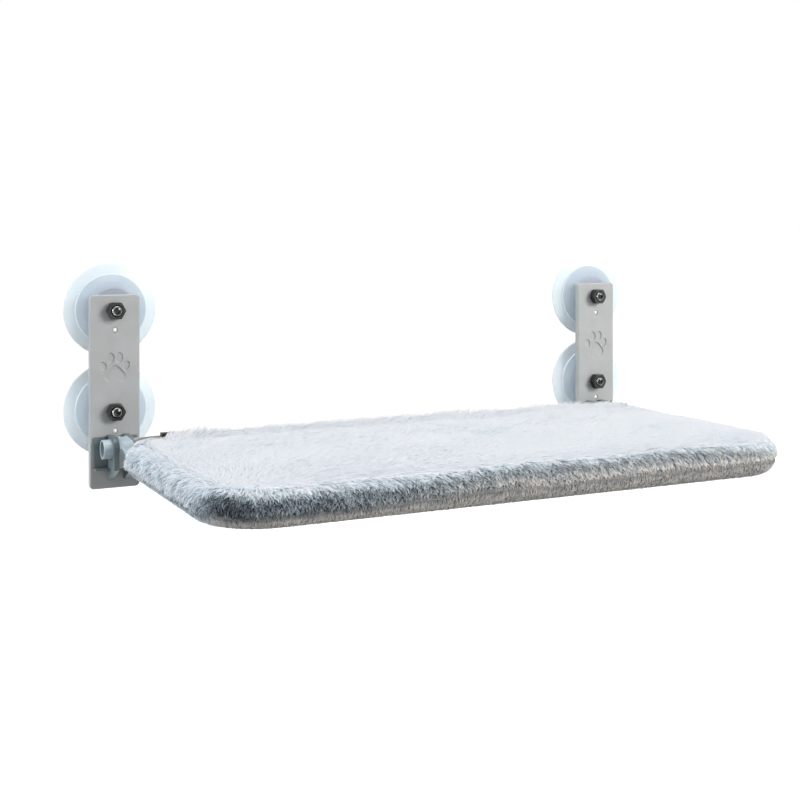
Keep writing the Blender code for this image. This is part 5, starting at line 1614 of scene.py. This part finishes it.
def edge_tone(outward, x, y, seam_share, white_share, upper):
    """Lightness and warmth of the side fur: painted shade darkens the front, painted light makes the left end
    and the rim pale, and it is warm below.
    """
    left = smooth_step(-outward[:, 0], *LEFT_FACING_SHARES)
    front = np.clip(-outward[:, 1], 0, 1) * (1 - left)
    front = np.where((x < 0) & (outward[:, 1] < 0), 1 - left, front)
    rest = np.clip(1 - left - front, 0, 1)
    across = np.clip(x / COVER_WIDTH + 0.5, 0, 1)
    patches = waves(x, y + 2 * seam_share * PATCH_LENGTH, FUR_SEED + 5, PATCH_LENGTH)
    if upper:
        tone = left * EDGE_LEFT_TONE + rest * EDGE_REST_TONE
        tone += front * (EDGE_FRONT_TONE + EDGE_FRONT_TONE_RISE * smooth_step(across, *FRONT_RISE_SHARES))
        inner = front * smooth_step(across, *INNER_SHARES)
        pale_low = inner * smooth_step(seam_share + PALE_LOW_PATCHES * patches, *PALE_LOW_SHARES)
        warmth = inner * INNER_WARMTH + PALE_LOW_WARMTH * pale_low + rest * REST_WARMTH
        tone += PALE_LOW_TONE * pale_low + FRONT_PATCH_TONE * front * patches
        # Painted shade in the front left corner
        corner = np.where((x < 0) & (y < 0), 4 * (outward[:, 0] * outward[:, 1]) ** 2, 0)
        tone -= CORNER_SHADE * corner
        # Painted shade in patches at the left end
        shag = waves(x + y, seam_share * SHAG_RISE, FUR_SEED + 6, SHAG_LENGTH)
        tone -= left * LEFT_SHADE * smooth_step(shag, *SHAG_SHARES)
        # Painted light: towards the rim the tone turns to the pale rim tone
        tone = tone + (EDGE_TOP_TONE - tone) * white_share
        warmth = warmth * (1 - white_share)
    else:
        tone = left * LOWER_LEFT_TONE
        tone += front * (LOWER_FRONT_TONE + LOWER_FRONT_TONE_RISE * smooth_step(across, *LOWER_RISE_SHARES))
        tone += rest * LOWER_REST_TONE
        tone += (UNDER_TONE - tone) * smooth_step(seam_share, *UNDER_TONE_SHARES)
        warmth = left * LOWER_LEFT_WARMTH + front * LOWER_FRONT_WARMTH + rest * LOWER_REST_WARMTH
    return tone + PATCH_TONE * patches, warmth


def add_fur(name, mesh, node):
    item = add_piece(name, mesh, None, "bed")
    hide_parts(node)


def grow_top(material):
    """The smooth fur on the bed, combed along it, over its front edge and tall in front of the zip."""
    numbers = np.random.default_rng(FUR_SEED)
    x, y = flat_places(TUFT_AREA_TOP * MM * MM, COVER_ROUNDING - TOP_OVERLAP, numbers)
    inset = inset_of(x, y)
    count = len(x)
    lift = waves(x, y, FUR_SEED, LIFT_LENGTH) * SKIN_WAVE
    z = COVER_TOP_Z - SKIN_DEPTH_TOP + crown_height(inset) + lift
    outward = outward_at(x, y)
    turn = COMB_TURN * waves(x, y, FUR_SEED + 1, COMB_LENGTH)
    turn = turn + RUFFLE_TURN * waves(x, y, FUR_SEED + 2, RUFFLE_LENGTH)
    turn += numbers.normal(0, TURN_SPREAD, count)
    at_left = left_share(x)
    heading = COMB_START + turn + LEFT_TURN_RADIANS * at_left
    comb = np.stack([np.cos(heading), np.sin(heading)], axis=1)
    over = smooth_step(inset, OVERHANG_REACH, COVER_ROUNDING)
    over = over * smooth_step(-outward[:, 1], *OVER_FACING_SHARES)
    over = (over * (1 - at_left))[:, None]
    aside = np.stack([-outward[:, 1], outward[:, 0]], axis=1)
    comb = unit(comb * (1 - over) + (outward * OVER_OUTWARD_SHARE + aside) * over)
    rise = numbers.normal(0, RISE_SPREAD, count)[:, None]
    tall = smooth_step(outward[:, 1], *REAR_FACING_SHARES)
    tall = tall * smooth_step(inset, ZIP_HIDE_REACH, COVER_ROUNDING)
    tall = (tall * smooth_step(x, ZIP_BARE_END, ZIP_BARE_END + ZIP_BARE_FADE))[:, None]
    tall_share = tall[:, 0]
    crest_share = tall_share * np.exp(-((x - CREST_X) / CREST_SPREAD) ** 2)
    crest = crest_share[:, None]
    dive = smooth_step(inset, DIVE_REACH, COVER_ROUNDING - TOP_OVERLAP)[:, None]
    dive = dive * smooth_step(outward[:, 1], *DIVE_FACING_SHARES)[:, None]
    normals = unit(with_z(outward * dive * DIVE_LEAN_SHARE, 1.0))
    up = np.array([0.0, 0.0, 1.0])
    low = np.maximum(over, smooth_step(at_left, *LOW_SHARES)[:, None] * (1 - tall))
    root_rise = ROOT_RISE + rise + ROOT_RISE_TALL * tall - ROOT_DROP_LOW * low + ROOT_RISE_CREST * crest
    tip_rise = TIP_RISE + rise + TIP_RISE_TALL * tall - TIP_DROP_DIVE * dive + TIP_RISE_CREST * crest
    start = unit(with_z(comb, 0.0) + up * root_rise)
    stop = unit(with_z(comb, 0.0) + up * tip_rise)
    bulge = tall_share * smooth_step(np.abs(x), BULGE_TO, BULGE_FROM)
    longer = 1 + TALL_LONGER_SHARE * tall_share + CREST_LONGER_SHARE * crest_share
    longer = longer + BULGE_LONGER_SHARE * bulge
    lengths = TUFT_LENGTH_TOP * numbers.uniform(*TOP_LENGTH_SHARES, count) * longer
    widths = TUFT_WIDTH * numbers.uniform(*TOP_WIDTH_SHARES, count)
    streak = waves(x * STREAK_SQUEEZE_X, y * STREAK_SQUEEZE_Y, FUR_SEED + 3, STREAK_LENGTH)
    streak += waves(x, y, FUR_SEED + 12, STREAK_PATCH_LENGTH)
    cloud = waves(x, y, FUR_SEED + 4, CLOUD_LENGTH)
    tones = TOP_TONE + CLOUD_TONE * cloud - STREAK_SHADE * smooth_step(streak, *STREAK_SHARES)
    tones = np.clip(tones + numbers.normal(0, TOP_TONE_SPREAD, count), TONE_LEAST, TONE_MOST)
    warmths = np.full(count, TOP_WARMTH)
    roots = np.column_stack([x, y, z])
    mesh = grow_tufts("fur_top", roots, normals, start, stop, lengths, widths, tones, warmths, material,
                      numbers, TOP_OWN_SHADING, 2, TUFT_SPIN_TOP)
    add_fur("fur_top", mesh, "plush_cover_top")


def grow_edge(material, upper):
    """The fur of the side's upper or lower band, from the parting to the rim or to the underside."""
    numbers = np.random.default_rng(FUR_SEED + (10 if upper else 20))
    high = COVER_TOP_Z - COVER_SEAM_Z
    low = COVER_SEAM_Z - COVER_BOTTOM_Z
    band = math.pi / 2 * ((COVER_ROUNDING + high) / 2 if upper else (COVER_LOWER_ROUNDING + low) / 2)
    total = rim_place(np.zeros(1))[2]
    cell = (TUFT_AREA_EDGE if upper else TUFT_AREA_LOWER) * MM * MM
    along, up = jittered(total, band, cell, numbers)
    seam_share = up / band
    rim, outward, total = rim_place(along / total)
    parting = -np.arcsin(np.maximum(parting_drop(rim[:, 0], rim[:, 1]), 0) / low)
    if not upper:
        seam_share = seam_share * (1 + LOWER_UNDERLAP_SHARE) - LOWER_UNDERLAP_SHARE
    angle = parting + ((math.pi / 2 if upper else -math.pi / 2) - parting) * seam_share
    rounding = np.where(angle > 0, COVER_ROUNDING, COVER_LOWER_ROUNDING)
    height = np.where(angle > 0, high, low)
    inset = rounding * (1 - np.cos(angle)) + COVER_SEAM_DRAW * smooth_step(seam_share, *SEAM_DRAW_SHARES)
    z = COVER_SEAM_Z + height * np.sin(angle)
    flat = rim - outward * inset[:, None]
    keep = np.full(len(flat), True)
    if upper:
        keep = (np.abs(inset - ZIP_INSET) > ZIP_LANE) | (flat[:, 1] < zip_path(ZIP_INSET)[0][1])
        keep |= (np.abs(flat[:, 0]) > ZIP_COVERED_FROM)
        from_arm = np.abs(np.abs(flat[:, 0]) - CUP_X + (ARM_OUTER + ARM_INNER) / 2)
        at_arm = from_arm < (ARM_INNER - ARM_OUTER) / 2 + ARM_GAP
        keep &= ~(at_arm & (flat[:, 1] > out_y(NOTCH_END)) & (z < ARM_BAR_TOP_Z + ARM_GAP_ABOVE))
    flat, outward, z, seam_share = flat[keep], outward[keep], z[keep], seam_share[keep]
    angle, inset, rounding, height = angle[keep], inset[keep], rounding[keep], height[keep]
    count = len(flat)
    x, y = flat[:, 0], flat[:, 1]
    normals = unit(with_z(outward * (np.cos(angle) / rounding)[:, None], np.sin(angle) / height))
    fall = unit(with_z(outward * (np.sin(angle) * rounding)[:, None], -np.cos(angle) * height))
    ahead = angle - CURL_UNDER_RADIANS
    fall_ahead = unit(with_z(outward * (np.sin(ahead) * rounding)[:, None], -np.cos(ahead) * height))
    top_share = np.clip(np.sin(angle), 0, 1)
    depth = SKIN_DEPTH_SIDE + (SKIN_DEPTH_TOP - SKIN_DEPTH_SIDE) * top_share
    roots = np.column_stack([flat, z]) - normals * depth[:, None]
    roots[:, 2] += waves(x, y, FUR_SEED, LIFT_LENGTH) * SKIN_WAVE * top_share
    tangent = np.stack([-outward[:, 1], outward[:, 0]], axis=1)
    clump = waves(x + z * 0.7, y - z * 0.4, FUR_SEED + 7, CLUMP_LENGTH)
    tuft = waves(x + z * 0.5, z * 1.2 - y, FUR_SEED + 11, TUFT_CLUMP_LENGTH)
    rise = numbers.normal(0, EDGE_RISE_SPREAD, count)[:, None] + EDGE_RISE_CLUMPS * tuft[:, None]
    down = np.array([0.0, 0.0, -1.0])
    out = with_z(outward, 0.0)
    if upper:
        sideways = UPPER_SIDE_CLUMPS * clump + numbers.normal(0, UPPER_SIDE_SPREAD, count)
        sideways = sideways * (1 - 0.5 * top_share)
        level = with_z(tangent, 0.0) * sideways[:, None]
        droop = np.cos(angle)[:, None]
        flow = (top_share ** 2)[:, None]
        flow_left = smooth_step(-outward[:, 0], *FLOW_LEFT_SHARES)
        flow_front = (1 - left_share(x)) * (1 - flow_left)
        flow_along = (flow_front - flow_left) * smooth_step(outward[:, 0], *FLOW_LEFT_SHARES[::-1])
        along_rim = with_z(tangent, 0.0) * flow * flow_along[:, None]
        stand = ROOT_STAND - ROOT_STAND_DROP * flow + rise * (1 - flow)
        start = unit(normals * stand + fall * ROOT_FALL + level + ROOT_FLOW * along_rim)
        hang = down * (TIP_HANG + TIP_HANG_DROOP * droop)
        stop = unit(out * (TIP_OUT - TIP_OUT_DROP * droop) + hang + level * TIP_SIDE + TIP_FLOW * along_rim)
        near_zip = (outward[:, 1] > 0.2) & (inset > ZIP_INSET)
        along_edge = unit(with_z(tangent, 0.0) + np.array([0.0, 0.0, 0.12]))
        stop[near_zip] = along_edge[near_zip]
        start[near_zip] = unit(normals + along_edge)[near_zip]
    else:
        sideways = LOWER_SIDE_CLUMPS * clump + numbers.normal(0, LOWER_SIDE_SPREAD, count)
        level = with_z(tangent, 0.0) * sideways[:, None]
        under = (np.clip(-np.sin(angle), 0, 1) ** 2)[:, None]
        stand = LOWER_ROOT_STAND - LOWER_ROOT_DROP * under + 0.5 * rise * (1 - under)
        start = unit(normals * stand + fall * LOWER_ROOT_FALL + level)
        stop = unit(fall_ahead + normals * LOWER_TIP_STAND * (1 - under) + level)
    length = TUFT_LENGTH_EDGE if upper else TUFT_LENGTH_LOWER
    lengths = length * numbers.uniform(*EDGE_LENGTH_SHARES, count)
    if upper:
        lengths *= SHORT_AT_SEAM_SHARE + (1 - SHORT_AT_SEAM_SHARE) * smooth_step(seam_share, *SHORT_SHARES)
    lengths *= 1 + EDGE_LEFT_SHAG * np.clip(-outward[:, 0], 0, 1)
    widths = TUFT_WIDTH * numbers.uniform(*EDGE_WIDTH_SHARES, count)
    parting_z = COVER_SEAM_Z - np.maximum(parting_drop(x, y), 0)
    rim_share = (z - parting_z) / (COVER_TOP_Z - parting_z)
    rim_share = rim_share + RIM_CLUMPS * clump + RIM_SPREAD * numbers.normal(0, 1, count)
    # The rim's pale band is painted light, drawn higher or lower along the bed
    rim_share -= WHITE_RAISED_SHARE * smooth_step(x, WHITE_RAISED_FROM, WHITE_RAISED_TO)
    rim_share += WHITE_LOWERED_SHARE * smooth_step(x, WHITE_LOWERED_FROM, WHITE_LOWERED_TO)
    white_share = smooth_step(rim_share, WHITE_FROM_SHARE, WHITE_TO_SHARE)
    tones, warmths = edge_tone(outward, x, y, seam_share, white_share, upper)
    # Painted shade in the crease at the parting
    crease = CREASE_SHADE * smooth_step(x, CREASE_FADE_TO, CREASE_FADE_FROM)
    tones = tones - crease * smooth_step(seam_share, *CREASE_SHARES)
    spread = UPPER_TONE_SPREAD * (1 - white_share) + WHITE_TONE_SPREAD if upper else LOWER_TONE_SPREAD
    tones += numbers.normal(0, 1, count) * spread
    if upper:
        tones += CLUMP_TONE * tuft * (1 - 0.8 * white_share)
    warm_spread = numbers.normal(0, WARMTH_SPREAD, count) * (1 - white_share if upper else 1)
    warmths = np.clip(warmths + warm_spread, 0, WARMTH_MOST)
    tones = np.clip(tones, TONE_LEAST, TONE_MOST)
    name = "fur_edge_upper" if upper else "fur_edge_lower"
    mesh = grow_tufts(name, roots, normals, start, stop, lengths, widths, tones, warmths, material, numbers)
    half = "top" if upper else "lower"
    add_fur(name, mesh, f"plush_cover_{half}")


def grow_under(material):
    """The sparse flat fur of the underside, turned inward at its border."""
    numbers = np.random.default_rng(FUR_SEED + 30)
    x, y = flat_places(TUFT_AREA_UNDER * MM * MM, COVER_LOWER_ROUNDING - UNDER_OVERLAP, numbers)
    count = len(x)
    turn = UNDER_COMB_TURN * waves(x, y, FUR_SEED + 31, UNDER_COMB_LENGTH)
    turn = turn + numbers.normal(0, UNDER_TURN_SPREAD, count)
    comb = np.stack([np.cos(turn), np.sin(turn)], axis=1)
    border = smooth_step(inset_of(x, y), UNDER_BORDER, COVER_LOWER_ROUNDING)[:, None]
    comb = unit(comb * (1 - border) - outward_at(x, y) * border)
    normals = np.tile(np.array([0.0, 0.0, -1.0]), (count, 1))
    start = unit(with_z(comb * 0.8, 0.0) + normals * 0.35)
    stop = unit(with_z(comb, 0.0) + normals * 0.03)
    lengths = TUFT_LENGTH_UNDER * numbers.uniform(*UNDER_LENGTH_SHARES, count)
    widths = UNDER_TUFT_WIDTH * numbers.uniform(*UNDER_WIDTH_SHARES, count)
    tones = UNDER_TONE + UNDER_PATCH_TONE * waves(x, y, FUR_SEED + 32, UNDER_PATCH_LENGTH)
    tones = tones + numbers.normal(0, UNDER_TONE_SPREAD, count)
    warmths = np.full(count, UNDER_WARMTH)
    roots = np.column_stack([x, y, np.full(count, COVER_BOTTOM_Z + SKIN_DEPTH_SIDE)])
    mesh = grow_tufts("fur_under", roots, normals, start, stop, lengths, widths, tones, warmths, material,
                      numbers)
    add_fur("fur_under", mesh, "plush_cover_lower")


# Nodes carried over from the frame

def dress_nodes(finish):
    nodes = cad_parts
    for name, key, width in DRESSED_NODES:
        set_finish(nodes[name], finish[key])
        soften_edges(nodes[name], width)
    for name, node in nodes.items():
        if name.startswith(("seat_rivet", "arm_bolt")):
            set_finish(node, finish["raw_steel"])
        if name.startswith("grub_screw"):
            set_finish(node, finish["black_steel"])


def set_finish(node, material):
    for holder in node.material_slots:
        holder.material = material
    if not node.material_slots:
        node.data.materials.append(material)


# Studio

def build_studio():
    far = FLOOR_REACH
    mesh = bpy.data.meshes.new("floor")
    corners = [(-far, -far, FLOOR_Z), (far, -far, FLOOR_Z), (far, far, FLOOR_Z), (-far, far, FLOOR_Z)]
    mesh.from_pydata(corners, [], [(0, 1, 2, 3)])
    floor = link(bpy.data.objects.new("floor", mesh))
    material, tree, shader = new_material("pale_floor", 0.9)
    seen = seen_directly(tree)
    tree.links.new(mix_colours(tree, seen, FLOOR_UNSEEN, FLOOR_SEEN), shader.inputs["Base Color"])
    glow = tree.nodes.new("ShaderNodeMath")
    glow.operation = "MULTIPLY"
    glow.inputs[1].default_value = FLOOR_GLOW
    tree.links.new(seen, glow.inputs[0])
    shader.inputs["Emission Color"].default_value = (*WHITE, 1.0)
    tree.links.new(glow.outputs["Value"], shader.inputs["Emission Strength"])
    mesh.materials.append(material)

    world = bpy.data.worlds.new("studio")
    bpy.context.scene.world = world
    world.use_nodes = True
    tree = world.node_tree
    background = tree.nodes["Background"]
    seen = seen_directly(tree)
    strength = add_node(tree, "ShaderNodeMapRange", To_Min=WORLD_STRENGTH, To_Max=1.0)
    tree.links.new(seen, strength.inputs["Value"])
    tree.links.new(strength.outputs["Result"], background.inputs["Strength"])
    tone = mix_colours(tree, seen, WORLD_COLOUR, WHITE)
    tree.links.new(tone, background.inputs["Color"])

    for name, place, aim, size, power, colour in LAMPS:
        light = bpy.data.lights.new(name, "AREA")
        light.shape = "DISK"
        light.size = size
        light.energy = power
        light.color = colour
        lamp = link(bpy.data.objects.new(name, light))
        lamp.location = place
        lamp.rotation_euler = (Vector(aim) - Vector(place)).to_track_quat("-Z", "Y").to_euler()


def seen_directly(tree):
    """1 where the camera looks straight, through glass or by a mirror, else 0."""
    path = tree.nodes.new("ShaderNodeLightPath")
    total = path.outputs["Is Camera Ray"]
    for name in ("Is Glossy Ray", "Is Transmission Ray"):
        add = tree.nodes.new("ShaderNodeMath")
        add.operation = "MAXIMUM"
        tree.links.new(total, add.inputs[0])
        tree.links.new(path.outputs[name], add.inputs[1])
        total = add.outputs["Value"]
    return total


def build_camera():
    data = bpy.data.cameras.new("camera")
    camera = link(bpy.data.objects.new("camera", data))
    camera.location = CAMERA_PLACE
    camera.rotation_euler = [math.radians(angle) for angle in CAMERA_TURN_DEGREES]
    data.lens = CAMERA_LENS
    data.shift_y = CAMERA_SHIFT_UP
    bpy.context.scene.camera = camera


def main():
    bpy.context.scene.view_settings.view_transform = "Standard"
    build_camera()
    build_studio()
    finish = all_finishes()
    build_cups(finish)
    build_plates(finish)
    build_tube(finish)
    build_bows(finish)
    build_sling(finish)
    build_foam(finish)
    build_skins(finish)
    build_zip(finish)
    top_fur = fur_material("plush_top_fur")
    lower_fur = fur_material("plush_lower_fur")
    grow_top(top_fur)
    grow_edge(top_fur, True)
    grow_edge(lower_fur, False)
    grow_under(lower_fur)
    dress_nodes(finish)


main()
bpy.context.view_layer.update()
